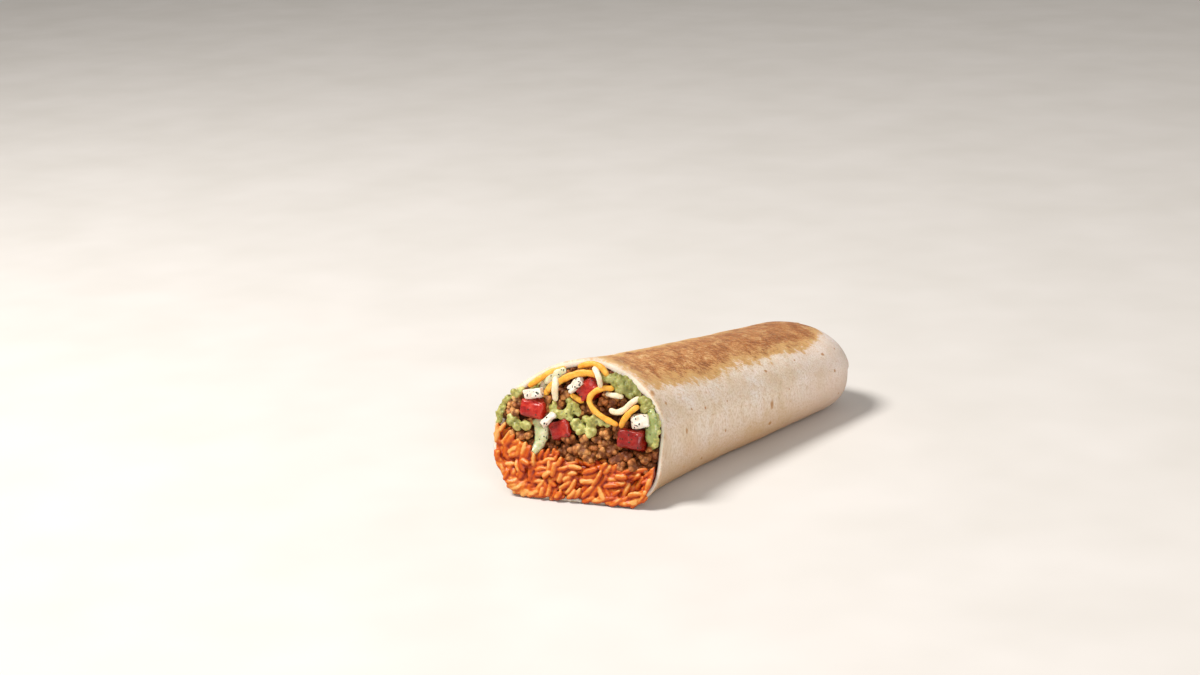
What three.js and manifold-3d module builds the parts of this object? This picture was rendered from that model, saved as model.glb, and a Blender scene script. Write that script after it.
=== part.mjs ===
// A burrito cut across one end: a flour tortilla rolled round layers of rice, ground beef
// and guacamole, with diced tomato, guacamole and grated cheese heaped in the cut.
// Millimetres, +Z up. The roll lies along Y with the cut end at -Y and the folded end at +Y.
import * as THREE from "three";
import { mergeVertices } from "three/addons/utils/BufferGeometryUtils.js";
import Module from "manifold-3d";

const wasm = await Module();
wasm.setup();

// ---- Driving dimensions -------------------------------------------------------------

const LENGTH = 160; // foot of the cut to the folded end
const CUT_WIDTH = 72; // the cut end is pushed wide by the filling
const CUT_HEIGHT = 52.5;
const BODY_WIDTH = 49.5; // the roll itself, just behind the cut
const BODY_HEIGHT = 51.5;
const END_WIDTH = 52.5; // the roll at its folded end, before it closes
const END_HEIGHT = 32.5;
const SPREAD_LENGTH = 15.5; // distance over which the cut end's spread dies away
const END_ROUND = 24; // length over which the folded end closes
const SLUMP = 0.16; // the cut end leans left by this for each millimetre of height,
const SLUMP_PIVOT_SHARE = 0.6; // about a point at this share of its height
const WRAP = 2.2; // thickness of the tortilla
const SEAM_STEP = 1; // ledge where the tortilla's free edge lies on the turn below
const SEAM_ANGLE = THREE.MathUtils.degToRad(226); // round the roll, from +X towards +Z
const CUT_LEAN = 0.364; // the cut runs back by this for each millimetre of height
const CUT_SKEW = 0.317; // and by this for each millimetre to the right
const FLAT_FOOT = 0.7; // how much of the round is pressed flat where the roll rests
const FLARE = 0.8; // how much further the foot of the cut spreads to each side
const FLARE_LENGTH = 9; // distance from the cut over which the spread dies away
const GAP = 0.3; // clearance between pieces that touch

// Powers of the rounded section, at the cut and at the folded end: 2 is an ellipse, and a
// higher power is squarer.
const TOP_POWERS = [1.8, 2.1];
const FOOT_POWERS = [3.7, 2.8];
const END_POWER = 2.4; // the same for the folded end, seen from the side
const LEDGE_FADE = 5; // how quickly the sheet's free edge thins away behind the ledge

const RICE_DEPTH_SHARE = 0.27; // of the roll's height, at the middle and right
const RICE_RISE_SHARE = 0.17; // extra depth of rice against the left wall
const RICE_RISE_POWER = 1.5;
const BEEF_SAG_SHARE = 0.34; // how far the top of the beef falls from its crown to the sides
const BEEF_SAG_POWER = 2.4;
const CROWN_GUACAMOLE = 4.5; // thickness of the guacamole under the roof
const RICE_WAVES = { rise: 0.7, length: 17, phase: 0 }; // unevenness of the rice's top
const BEEF_WAVES = { rise: 0.5, length: 21, phase: 2 };

// ---- Colours and finishes -----------------------------------------------------------

const finish = (color, roughness) =>
  new THREE.MeshStandardMaterial({ color, roughness, metalness: 0 });

const FINISHES = {
  tortilla: finish(0xdcc6a8, 0.75),
  rice: finish(0xe07a32, 0.45),
  beef: finish(0x8c5a32, 0.6),
  guacamole: finish(0xb0b45c, 0.4),
  tomato: finish(0xb42d28, 0.25),
  cheddar: finish(0xf6b444, 0.45),
  whiteCheese: finish(0xf2e6cf, 0.45),
};

// ---- The roll's form ----------------------------------------------------------------

const { lerp, clamp } = THREE.MathUtils;

// The roll's size and roundness at a place y along it.
function sectionAt(y) {
  const share = clamp(y / LENGTH, 0, 1);
  const spread = Math.exp(-Math.max(y, 0) / SPREAD_LENGTH);
  return {
    halfWidth: (lerp(BODY_WIDTH, END_WIDTH, share) + (CUT_WIDTH - BODY_WIDTH) * spread) / 2,
    height: lerp(BODY_HEIGHT, END_HEIGHT, share) + (CUT_HEIGHT - BODY_HEIGHT) * spread,
    topPower: lerp(...TOP_POWERS, share),
    footPower: lerp(...FOOT_POWERS, share),
    spread,
  };
}

// How far the roll still is open at y: 1 along the body, falling to 0 at the folded end.
function endShare(y, end) {
  const into = clamp((y - (end - END_ROUND)) / END_ROUND, 0, 1);
  return Math.pow(1 - Math.pow(into, END_POWER), 1 / END_POWER);
}

// The cut plane's y over a point of the section.
const cutAt = (x, z) => CUT_LEAN * z + CUT_SKEW * x;

// How far a point near the foot of the cut is spread sideways.
function flare(x, y, z, halfWidth, middle) {
  const nearCut = Math.exp(-Math.max(0, y - cutAt(x, z)) / FLARE_LENGTH);
  return FLARE * nearCut * clamp(1 - z / middle, 0, 1) * (x / halfWidth);
}

// A point of the rounded, flat-footed section, inset from the roll's skin.
function onSection(angle, y, inset, scale) {
  const { halfWidth, height, topPower, footPower, spread } = sectionAt(y);
  const side = Math.cos(angle);
  const rise = Math.sin(angle);
  const power = rise > 0 ? topPower : footPower;
  const bent = (value) => Math.sign(value) * Math.pow(Math.abs(value), 2 / power);
  const middle = height / 2;
  const tall = middle + FLAT_FOOT;
  const x = bent(side) * (halfWidth - inset) * scale;
  const z = Math.max(middle + bent(rise) * (tall - inset) * scale, inset);
  const slump = -SLUMP * spread * (z - SLUMP_PIVOT_SHARE * height);
  return [x + slump + flare(x, y, z, halfWidth, middle), z];
}

// The ledge of the rolled sheet: its thickness spirals out and steps back at the seam.
function spiralStep(angle) {
  const turn = (angle - SEAM_ANGLE + 2 * Math.PI) % (2 * Math.PI);
  return SEAM_STEP * Math.pow(1 - turn / (2 * Math.PI), LEDGE_FADE);
}

// ---- Making solids ------------------------------------------------------------------

// A closed three.js geometry as a solid that can be joined and cut.
function solidFrom(geometry) {
  const bare = geometry.index ? geometry.toNonIndexed() : geometry.clone();
  for (const name of ["normal", "uv"]) bare.deleteAttribute(name);
  const merged = mergeVertices(bare, 1e-3);
  const triVerts = new Uint32Array(merged.index.array);
  const vertProperties = merged.attributes.position.array;
  return new wasm.Manifold(new wasm.Mesh({ numProp: 3, vertProperties, triVerts }));
}

// The largest body of a solid, in case a cut has parted it.
function largestBody(solid) {
  return solid.decompose().reduce((a, b) => (a.volume() > b.volume() ? a : b));
}

function meshFrom(solid, name, material) {
  const { numProp, vertProperties, triVerts } = solid.getMesh();
  const count = vertProperties.length / numProp;
  const positions = new Float32Array(count * 3);
  for (let i = 0; i < count; i++)
    for (let k = 0; k < 3; k++) positions[3 * i + k] = vertProperties[numProp * i + k];
  const geometry = new THREE.BufferGeometry();
  geometry.setAttribute("position", new THREE.BufferAttribute(positions, 3));
  geometry.setIndex(new THREE.BufferAttribute(new Uint32Array(triVerts), 1));
  geometry.computeVertexNormals();
  const mesh = new THREE.Mesh(geometry, material);
  mesh.name = name;
  return mesh;
}

// Evenly spaced angles round the roll, starting at the seam. With a ledge, the last facet
// is only that wide, so that the sheet's edge steps back sharply.
function anglesRound(count, ledge = 2 * Math.PI / count) {
  const spacing = (2 * Math.PI - ledge) / (count - 1);
  return Array.from({ length: count }, (_, step) => SEAM_ANGLE + step * spacing);
}

// A sphere's net of vertices, moved row by row: each row is one station of a loft that
// closes at both ends, and place(angle, station) gives a vertex.
function loft(angles, stations, place) {
  const around = angles.length;
  const geometry = new THREE.SphereGeometry(1, around, stations.length - 1);
  const points = geometry.getAttribute("position");
  stations.forEach((station, row) => {
    for (let step = 0; step <= around; step++)
      points.setXYZ(row * (around + 1) + step, ...place(angles[step % around], station));
  });
  return solidFrom(geometry);
}

const FACE_CROWDING = 0.7; // below 1: rings on the cut are closest together at its rim
const BODY_CROWDING = 1.5; // above 1: rings along the roll are closest together at the cut

// Stations of the roll from the middle of the cut, over its rim and along to the far end.
// `face` rings cover the cut, `body` rings the side, closest together near the cut, and
// `cap` rings the folded end. With `lead` the form also reaches that far in front.
function rollStations({ start, end, lead, face, body, cap }) {
  const stations = [];
  for (let i = 0; i < face; i++)
    stations.push({ y: start - lead, scale: Math.pow(i / face, FACE_CROWDING), onCut: 1 });
  if (lead > 0) stations.push({ y: start - lead, scale: 1, onCut: 1 });
  const bodyEnd = end - END_ROUND;
  for (let i = 0; i <= body; i++) {
    const along = Math.pow(i / body, BODY_CROWDING);
    const y = lerp(start, bodyEnd, along);
    stations.push({ y, scale: 1, onCut: Math.pow(1 - along, BODY_CROWDING) });
  }
  for (let i = 1; i <= cap; i++) {
    const into = Math.pow(Math.sin((Math.PI / 2) * (i / cap)), 2 / END_POWER);
    const y = bodyEnd + END_ROUND * into;
    stations.push({ y, scale: endShare(y, end), onCut: 0 });
  }
  return stations;
}

// The roll's outer form, or a form inset from it. `relief(x, z, scale)` pushes the cut out.
function roll({ angles, inset, start = 0, end = LENGTH, lead = 0, rings, relief, spiral }) {
  const stations = rollStations({ start, end, lead, ...rings });
  return loft(angles, stations, (angle, { y, scale, onCut }) => {
    const skin = spiral ? inset - spiralStep(angle) * scale : inset;
    const along = y + onCut * cutAt(...onSection(angle, y, skin, scale));
    const [x, z] = onSection(angle, along, skin, scale);
    const out = relief && onCut === 1 ? relief(x, z, scale) : 0;
    return [x, along - out, spiral ? Math.max(z, 0) : z];
  });
}

// ---- Tortilla -----------------------------------------------------------------------

const MOUTH_LEAD = 14; // the cavity's tool reaches this far in front of the cut
const PROUD = 0.5; // how far the layers stand in front of the rim
const LEDGE_ANGLE = THREE.MathUtils.degToRad(1.2); // narrow facet down the sheet's edge
const SKIN_ANGLES = anglesRound(38, LEDGE_ANGLE);
const SKIN_RINGS = { face: 1, body: 9, cap: 6 };
const INNER_ANGLES = anglesRound(28);
const INNER_RINGS = { face: 1, body: 6, cap: 4 };

function tortilla() {
  const skin = roll({
    angles: SKIN_ANGLES,
    inset: 0,
    rings: SKIN_RINGS,
    spiral: true,
  });
  const cavity = roll({
    angles: INNER_ANGLES,
    inset: WRAP,
    start: -PROUD,
    end: LENGTH - 2 * WRAP,
    lead: MOUTH_LEAD,
    rings: INNER_RINGS,
  });
  return skin.subtract(cavity);
}

// ---- The layers that run through the roll --------------------------------------------

// Smooth unevenness between -1 and 1: two waves that cross, each bent by a longer one.
function waves(a, b, length, phase = 0) {
  const k = (2 * Math.PI) / length;
  const first = Math.sin(k * a + 1.3 * Math.sin(k * 0.63 * b + phase));
  const second = Math.sin(k * 1.17 * b + 1.1 * Math.sin(k * 0.71 * a - phase) + phase);
  return (first + second) / 2;
}

const ripple = (x, y, { rise, length, phase }) => rise * waves(x, y, length, phase);

// The whole filling with its cut end pushed out and made uneven. The bulge and the lumps
// die away quickly towards the rim, by these powers.
const BULGE_POWER = 6;
const LUMPS_POWER = 4;

function filling({ overhang, roughness, grain }, grow) {
  const relief = (x, z, scale) =>
    grow +
    overhang * (1 - Math.pow(scale, BULGE_POWER)) +
    roughness * waves(x, z, grain, 0.8) * (1 - Math.pow(scale, LUMPS_POWER));
  return roll({
    angles: INNER_ANGLES,
    inset: WRAP + GAP,
    start: -PROUD,
    end: LENGTH - 2 * WRAP - GAP,
    rings: { ...INNER_RINGS, face: 5 },
    relief,
  });
}

// Heights of the layers' boundaries over a point (x, y) of the floor.
function riceTop(x, y) {
  const { halfWidth, height } = sectionAt(y);
  const left = clamp(-x / halfWidth, 0, 1);
  const share = RICE_DEPTH_SHARE + RICE_RISE_SHARE * left ** RICE_RISE_POWER;
  return height * share + ripple(x, y, RICE_WAVES);
}

function beefTop(x, y) {
  const { halfWidth, height } = sectionAt(y);
  const across = clamp(Math.abs(x) / halfWidth, 0, 1);
  const crown = height - WRAP - CROWN_GUACAMOLE;
  const sag = BEEF_SAG_SHARE * height * across ** BEEF_SAG_POWER;
  return crown - sag + ripple(x, y, BEEF_WAVES);
}

// All that lies under a wavy surface, over a footprint wider and longer than the roll.
const SURFACE_CELLS = { across: 10, along: 8 };
const SIDE_MARGIN = 10;
const FRONT_MARGIN = 40;
const BACK_MARGIN = 20;

function under(surface, lift = 0) {
  const { across, along } = SURFACE_CELLS;
  const wide = CUT_WIDTH + 2 * SIDE_MARGIN;
  const long = FRONT_MARGIN + LENGTH + BACK_MARGIN;
  const geometry = new THREE.BoxGeometry(wide, long, 1, across, along, 1);
  geometry.translate(0, long / 2 - FRONT_MARGIN, 0);
  const points = geometry.getAttribute("position");
  for (let i = 0; i < points.count; i++) {
    const top = surface(points.getX(i), points.getY(i)) + lift;
    points.setZ(i, points.getZ(i) > 0 ? top : -CUT_HEIGHT);
  }
  return solidFrom(geometry);
}

// How each layer's cut end bulges: how far, how rough, and the size of its lumps.
const RICE_END = { overhang: 3.2, roughness: 1.4, grain: 12 };
const BEEF_END = { overhang: 0.6, roughness: 1.6, grain: 14 };
const GUACAMOLE_END = { overhang: 0.3, roughness: 0.8, grain: 12 };

const rice = (grow) => filling(RICE_END, grow).intersect(under(riceTop, grow));
const beef = (grow) => filling(BEEF_END, grow).intersect(under(beefTop, grow));
const guacamole = (grow) => filling(GUACAMOLE_END, grow);

// The three layers together, grown all round: what a piece on the cut keeps clear of.
const layersAround = rice(GAP).add(beef(GAP)).add(guacamole(GAP));

// ---- Places on the cut --------------------------------------------------------------

const OUTWARD = new THREE.Vector3(CUT_SKEW, -1, CUT_LEAN).normalize();
const RIGHT = new THREE.Vector3(1, CUT_SKEW, 0).normalize();
const UPWARD = new THREE.Vector3().crossVectors(OUTWARD, RIGHT).normalize();

// The point of the cut at x and z, moved `out` millimetres in front of it.
function onCut(x, z, out = 0) {
  return new THREE.Vector3(x, cutAt(x, z), z).addScaledVector(OUTWARD, out);
}

// Turns a shape made with X to the right, Y upward and Z outward to stand on the cut.
function standOnCut(geometry, { at: [x, z], out = 0, turn = 0 }) {
  const placed = new THREE.Matrix4().makeBasis(RIGHT, UPWARD, OUTWARD);
  placed.setPosition(onCut(x, z, out));
  geometry.rotateZ(THREE.MathUtils.degToRad(turn));
  return geometry.applyMatrix4(placed);
}

// ---- The pieces in the cut ----------------------------------------------------------

// A die with soft corners: a sphere drawn out towards a box.
function softDie([wide, tall, deep], grow, power) {
  const geometry = new THREE.SphereGeometry(1, 10, 6);
  const points = geometry.getAttribute("position");
  const spread = (value, size) =>
    Math.sign(value) * Math.pow(Math.abs(value), 2 / power) * (size / 2 + grow);
  for (let i = 0; i < points.count; i++)
    points.setXYZ(
      i,
      spread(points.getX(i), wide),
      spread(points.getY(i), tall),
      spread(points.getZ(i), deep),
    );
  return geometry;
}

const die = (power) => (piece, grow) =>
  solidFrom(standOnCut(softDie(piece.size, grow, power), piece));

// A dollop: several rounded lobes grown together. Each lobe is [x, z, radius, out].
function dollop({ lobes }, grow) {
  const balls = lobes.map(([x, z, radius, out]) => {
    const ball = new THREE.SphereGeometry(radius + grow, 8, 5).rotateX(Math.PI / 2);
    return solidFrom(standOnCut(ball, { at: [x, z], out }));
  });
  return balls.reduce((all, ball) => all.add(ball));
}

const SHRED_STEPS_PER_MM = 0.32;
const SHRED_SIDE_SHARE = 0.6; // its sides reach back this far, the ridge behind all the way

// A strip of grated cheese along a route on the cut. Each point is [x, z, out].
function shred({ route, wide, thick }, grow) {
  const path = new THREE.CatmullRomCurve3(route.map((point) => onCut(...point)));
  const [halfWide, halfThick] = [wide / 2 + grow, thick / 2 + grow];
  const outline = new THREE.Shape([
    new THREE.Vector2(-halfWide, -SHRED_SIDE_SHARE * halfThick),
    new THREE.Vector2(0, -halfThick),
    new THREE.Vector2(halfWide, -SHRED_SIDE_SHARE * halfThick),
    new THREE.Vector2(halfWide, halfThick),
    new THREE.Vector2(-halfWide, halfThick),
  ]);
  const steps = Math.max(4, Math.round(path.getLength() * SHRED_STEPS_PER_MM));
  return solidFrom(
    new THREE.ExtrudeGeometry(outline, { steps, extrudePath: path, bevelEnabled: false }),
  );
}

const CHEDDAR = { make: shred, material: FINISHES.cheddar };
const WHITE = { make: shred, material: FINISHES.whiteCheese };
const CHUNK = { make: die(3.4), material: FINISHES.whiteCheese };
const TOMATO = { make: die(4.5), material: FINISHES.tomato, sunk: true };
const DOLLOP = { make: dollop, material: FINISHES.guacamole };

// Front to back: a piece is cut back from those listed before it.
const PIECES = [
  {
    name: "white_cheese_left",
    ...WHITE,
    wide: 2.7,
    thick: 2.2,
    route: [
      [-12.9, 43.2, 4.6],
      [-12.1, 40.4, 6],
      [-11.6, 37.6, 6],
      [-11.2, 34.4, 4.6],
    ],
  },
  {
    name: "white_cheese_top",
    ...WHITE,
    wide: 2.4,
    thick: 2.2,
    route: [
      [0.6, 47.4, 4.2],
      [2.8, 45.8, 6.2],
      [4.3, 43.2, 6.2],
      [5, 40.4, 5.6],
    ],
  },
  {
    name: "cheddar_loop",
    ...CHEDDAR,
    wide: 2.5,
    thick: 2.3,
    route: [
      [9.3, 40.4, 2.8],
      [5.9, 40.5, 4],
      [2.8, 38.8, 4.8],
      [1.7, 35.8, 5.2],
      [4.3, 32.4, 5.2],
      [9, 29.8, 4.4],
      [13.6, 28, 3.6],
    ],
  },
  {
    name: "cheddar_tail",
    ...CHEDDAR,
    wide: 2.5,
    thick: 2.3,
    route: [
      [14.9, 27.6, 3.8],
      [15.8, 30.2, 4.6],
      [17.6, 32.9, 4.8],
      [20, 35.2, 4],
    ],
  },
  {
    name: "cheddar_arch",
    ...CHEDDAR,
    wide: 2.8,
    thick: 2.4,
    route: [
      [-15.8, 37.4, 2.6],
      [-14.4, 39.7, 3.4],
      [-11.8, 41.2, 4.2],
      [-8.2, 43.4, 4.4],
      [-3.9, 45, 4.4],
      [0.6, 45.2, 4],
      [2.9, 44.6, 3.4],
    ],
  },
  {
    name: "cheddar_crown",
    ...CHEDDAR,
    wide: 2.6,
    thick: 2.5,
    route: [
      [-6.4, 46, 2.2],
      [-3.6, 46.8, 2.6],
      [-0.4, 47.2, 3],
      [2.6, 46.8, 3.2],
      [4.6, 45.6, 3.2],
      [6, 44.2, 3],
    ],
  },
  {
    name: "white_cheese_lower",
    ...WHITE,
    wide: 2.5,
    thick: 2.1,
    route: [
      [9, 33.2, 3.2],
      [12.4, 32.4, 3.8],
      [15.2, 33.9, 4],
      [17.1, 36.2, 3.8],
      [19.3, 38.3, 2.6],
    ],
  },
  {
    name: "white_cheese_upper",
    ...WHITE,
    wide: 2.3,
    thick: 2.1,
    route: [
      [6.2, 38.6, 2.4],
      [9.3, 38.3, 3],
      [13.3, 38.1, 2.6],
    ],
  },
  {
    name: "speckled_chunk_left",
    ...CHUNK,
    at: [-20.8, 36.6],
    size: [8.2, 4, 3.6],
    out: 3.9,
    turn: 16,
  },
  {
    name: "speckled_chunk_top",
    ...CHUNK,
    at: [-5.4, 40.6],
    size: [7.4, 3.6, 3.4],
    out: 3.9,
    turn: 40,
  },
  {
    name: "speckled_stick",
    ...CHUNK,
    at: [-13.2, 27.9],
    size: [7.4, 3.1, 3.1],
    out: 4.5,
    turn: 46,
  },
  {
    name: "speckled_chunk_right",
    ...CHUNK,
    at: [21.1, 30.2],
    size: [7.6, 5.4, 4],
    out: 3,
    turn: 14,
  },
  {
    name: "cheddar_left",
    ...CHEDDAR,
    wide: 2.6,
    thick: 2.4,
    route: [
      [-24, 38.6, 1.6],
      [-21.3, 40.7, 2.1],
      [-18.4, 42.8, 2.2],
      [-15, 44.7, 2.1],
      [-10.6, 45.8, 1.8],
    ],
  },
  {
    name: "cheddar_stub",
    ...CHEDDAR,
    wide: 2.5,
    thick: 2.3,
    route: [
      [-17, 35.4, 1.8],
      [-16.2, 37.6, 2],
      [-15.6, 39.4, 1.6],
    ],
  },
  {
    name: "cheddar_under",
    ...CHEDDAR,
    wide: 2.4,
    thick: 2.2,
    route: [
      [-7, 37.4, 2.2],
      [-4.4, 36.2, 2.6],
      [-1.2, 35, 2.4],
    ],
  },
  {
    name: "tomato_left",
    ...TOMATO,
    at: [-20.6, 31.5],
    size: [10.8, 8, 8],
    out: 1.2,
    turn: -6,
  },
  {
    name: "tomato_middle",
    ...TOMATO,
    at: [-8.8, 24.8],
    size: [8.8, 8.4, 8],
    out: 0.4,
    turn: 20,
  },
  {
    name: "tomato_right",
    ...TOMATO,
    at: [18.4, 23.8],
    size: [11, 8.2, 8],
    out: 0.7,
    turn: -3,
  },
  {
    name: "tomato_top",
    ...TOMATO,
    at: [-1.2, 39.6],
    size: [9.2, 8.6, 7.8],
    out: 0.7,
    turn: 32,
  },
  {
    name: "guacamole_centre",
    ...DOLLOP,
    lobes: [
      [-11.2, 31, 3, 2.2],
      [-7, 30.8, 2.8, 2.4],
      [-5, 32.8, 2.8, 2.2],
    ],
  },
  {
    name: "guacamole_middle",
    ...DOLLOP,
    lobes: [
      [-1.6, 26.8, 3, 2.2],
      [3.4, 28.2, 2.9, 2.4],
      [3.7, 25.4, 2.8, 2.2],
      [7.8, 28.9, 2.4, 2],
    ],
  },
  {
    name: "guacamole_left_lower",
    ...DOLLOP,
    lobes: [
      [-27.8, 26.5, 2.8, 2],
      [-25, 24.7, 2.7, 2],
      [-21.9, 24.8, 2.6, 2.2],
    ],
  },
  {
    name: "guacamole_left_edge",
    ...DOLLOP,
    lobes: [
      [-31, 33.6, 2.6, 1.6],
      [-31.8, 30.9, 2.6, 1.5],
      [-32, 27.8, 2.4, 1.3],
    ],
  },
  {
    name: "guacamole_top_left",
    ...DOLLOP,
    lobes: [
      [-28.4, 35.4, 2.6, 1.8],
      [-26.8, 37, 2.4, 1.8],
    ],
  },
  {
    name: "guacamole_top_right",
    ...DOLLOP,
    lobes: [
      [7.2, 43.6, 3, 2],
      [11.6, 41.9, 3.6, 2.2],
      [15.8, 40.6, 2.9, 1.4],
      [18, 39.4, 2, 1],
    ],
  },
  {
    name: "guacamole_right",
    ...DOLLOP,
    lobes: [
      [20.2, 37.2, 2.8, 2.8],
      [21.6, 35.2, 3, 2.8],
    ],
  },
  {
    name: "guacamole_right_low",
    ...DOLLOP,
    lobes: [
      [25, 31.8, 2.8, 2],
      [26.4, 28.4, 3, 1.8],
      [26.8, 24.4, 2.8, 1.8],
    ],
  },
];

// ---- Putting the burrito together ---------------------------------------------------

// Everything in the cut stays inside the tortilla's mouth.
const mouth = roll({
  angles: INNER_ANGLES,
  inset: WRAP + 2 * GAP,
  start: -PROUD,
  end: LENGTH - 2 * WRAP - GAP,
  lead: MOUTH_LEAD,
  rings: INNER_RINGS,
});

// Dice are sunk whole into the layers. Other pieces lie on the layers, pressed flat behind.
function piecesInCut() {
  const placed = [];
  return PIECES.map((piece) => {
    let solid = piece.make(piece, 0).intersect(mouth);
    for (const before of placed) solid = solid.subtract(before.make(before, GAP));
    if (!piece.sunk) solid = solid.subtract(layersAround);
    placed.push(piece);
    return meshFrom(largestBody(solid), piece.name, piece.material);
  });
}

function layers() {
  const sunk = PIECES.filter((piece) => piece.sunk);
  const pockets = sunk.map((piece) => piece.make(piece, GAP)).reduce((a, b) => a.add(b));
  const layer = (name, material, solid) =>
    meshFrom(largestBody(solid.subtract(pockets)), name, material);
  return [
    layer("rice", FINISHES.rice, rice(0)),
    layer("ground_beef", FINISHES.beef, beef(0).subtract(under(riceTop, GAP))),
    layer("guacamole", FINISHES.guacamole, guacamole(0).subtract(under(beefTop, GAP))),
  ];
}

const burrito = new THREE.Group();
burrito.add(meshFrom(tortilla(), "tortilla", FINISHES.tortilla));
burrito.add(...layers(), ...piecesInCut());

// The frame's origin is the middle of the footprint, on the surface the roll rests on.
const extent = new THREE.Box3().setFromObject(burrito);
const middle = extent.getCenter(new THREE.Vector3());
burrito.position.set(-middle.x, -middle.y, -extent.min.z);

export default burrito;
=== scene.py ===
# %% [markdown]
# # A burrito, cut across one end
# A wheat tortilla is rolled round layers of rice, ground beef and guacamole, and browned on
# a hot plate. The cut end is heaped with diced tomato, guacamole, grated cheese and sauce.
# The lesson starts from plain solids that give each piece its size and place. Every solid is
# then replaced by a piece with the full shape and finish of the food. All sizes are metres.

# %% Load the frame
import math

import bmesh
import bpy
import numpy as np
from mathutils import Matrix, Vector
from mathutils.bvhtree import BVHTree


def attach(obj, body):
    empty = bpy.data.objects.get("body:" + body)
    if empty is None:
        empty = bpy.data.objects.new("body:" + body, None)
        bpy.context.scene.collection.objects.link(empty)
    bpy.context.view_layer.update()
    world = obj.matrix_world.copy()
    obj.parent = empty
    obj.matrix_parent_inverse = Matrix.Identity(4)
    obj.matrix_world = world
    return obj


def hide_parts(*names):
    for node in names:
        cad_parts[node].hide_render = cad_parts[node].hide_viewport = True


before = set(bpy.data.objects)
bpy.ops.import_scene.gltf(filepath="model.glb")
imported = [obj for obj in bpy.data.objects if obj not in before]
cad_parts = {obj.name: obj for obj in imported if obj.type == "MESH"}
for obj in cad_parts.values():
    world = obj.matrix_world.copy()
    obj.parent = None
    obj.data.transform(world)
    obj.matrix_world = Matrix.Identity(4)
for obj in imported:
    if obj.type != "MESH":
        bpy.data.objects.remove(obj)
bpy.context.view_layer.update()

MM = 0.001
draw = np.random.default_rng(84)
print("nodes:", len(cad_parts))

# %% [markdown]
# ## The camera
# A long lens a good arm's length away keeps the roll's outlines nearly parallel. The camera
# stands to the right of the cut end, a little above it. Its axes are worked out from an
# azimuth, an elevation and a small roll, and written straight into its matrix.

# %% The camera
SHIFT = Vector((2.938, -76.394, 0)) * MM  # the foot of the cut's middle, in the frame
LOOK_AT = Vector((52.668, -42.252, 81.86)) * MM + SHIFT
DISTANCE = 750.4 * MM
AZIMUTH, ELEVATION, ROLL = (math.radians(a) for a in (40.309, 16.0, -2.229))
SENSOR_WIDTH, FOCAL_LENGTH = 36, 67.5  # in the millimetres of a real camera

back = Vector((
    math.sin(AZIMUTH) * math.cos(ELEVATION),
    -math.cos(AZIMUTH) * math.cos(ELEVATION),
    math.sin(ELEVATION),
))
level = Vector((0, 0, 1)).cross(back).normalized()
upright = back.cross(level)
side = level * math.cos(ROLL) + upright * math.sin(ROLL)
top = upright * math.cos(ROLL) - level * math.sin(ROLL)

lens = bpy.data.cameras.new("camera")
lens.sensor_width = SENSOR_WIDTH
lens.lens = FOCAL_LENGTH
lens.clip_start = 50 * MM
camera = bpy.data.objects.new("camera", lens)
bpy.context.collection.objects.link(camera)
camera.matrix_world = Matrix.Translation(LOOK_AT + back * DISTANCE) @ Matrix(
    (side, top, back)
).transposed().to_4x4()
bpy.context.scene.camera = camera
print("camera at", [round(v, 3) for v in camera.location])

# %% [markdown]
# ## Tools for the work
# Operators act on whatever is selected, so each step first clears the selection. `only`
# picks one object, and `shaped` adds a modifier and applies it, so that no modifier is
# left live on a finished piece.

# %% Selecting and applying
def only(obj):
    if bpy.context.object and bpy.context.object.mode != "OBJECT":
        bpy.ops.object.mode_set(mode="OBJECT")
    bpy.ops.object.select_all(action="DESELECT")
    obj.select_set(True)
    bpy.context.view_layer.objects.active = obj


def edit(obj):
    only(obj)
    bpy.ops.object.mode_set(mode="EDIT")
    bpy.ops.mesh.select_all(action="SELECT")


def leave():
    bpy.ops.object.mode_set(mode="OBJECT")
    return bpy.context.object


def shaped(obj, kind, **settings):
    only(obj)
    modifier = obj.modifiers.new(kind.title(), kind)
    for key, value in settings.items():
        setattr(modifier, key, value)
    bpy.ops.object.modifier_apply(modifier=modifier.name)
    return obj


print("tools ready")

# %% [markdown]
# ## The form of the roll
# The roll is described by a few smooth functions, so that every piece can ask where the
# skin is. Its section is a rounded, flat-footed oval. It is wide and leans over at the cut,
# narrows just behind it, and runs low and round to the folded end. The cut slants back with
# height and to the right. Lengths here are millimetres from the foot of the cut.

# %% The form of the roll
LENGTH = 160
CUT_SIZE, BODY_SIZE, END_SIZE = (72, 52.5), (49.5, 51.5), (52.5, 32.5)
SPREAD_LENGTH = 15.5  # how far behind the cut the roll is still spread
TOP_POWERS, FOOT_POWERS = (1.8, 2.1), (3.7, 2.8)  # squareness at the cut and at the end
END_ROUND, END_POWER = 24, 2.4
MEAN_RADIUS = 25
SLUMP, SLUMP_PIVOT = 0.16, 0.6
FLARE, FLARE_LENGTH = 0.8, 9
WRAP = 2.2  # the sheet's turns together
SEAM_STEP, SEAM_FADE = 1.0, 5
SEAM_DEGREES = 226
SEAM_ANGLE = math.radians(SEAM_DEGREES)
CUT_LEAN, CUT_SKEW = 0.364, 0.317
FLAT_FOOT = 0.7


def between(a, b, share):
    return a + (b - a) * share


def bent(value, power):
    """A power that keeps the sign, which squares or sharpens a round outline."""
    return np.sign(value) * np.abs(value) ** power


def eased(low, high, value):
    share = np.clip((value - low) / (high - low), 0, 1)
    return share * share * (3 - 2 * share)


def cut_y(x, z):
    return CUT_LEAN * z + CUT_SKEW * x


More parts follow.
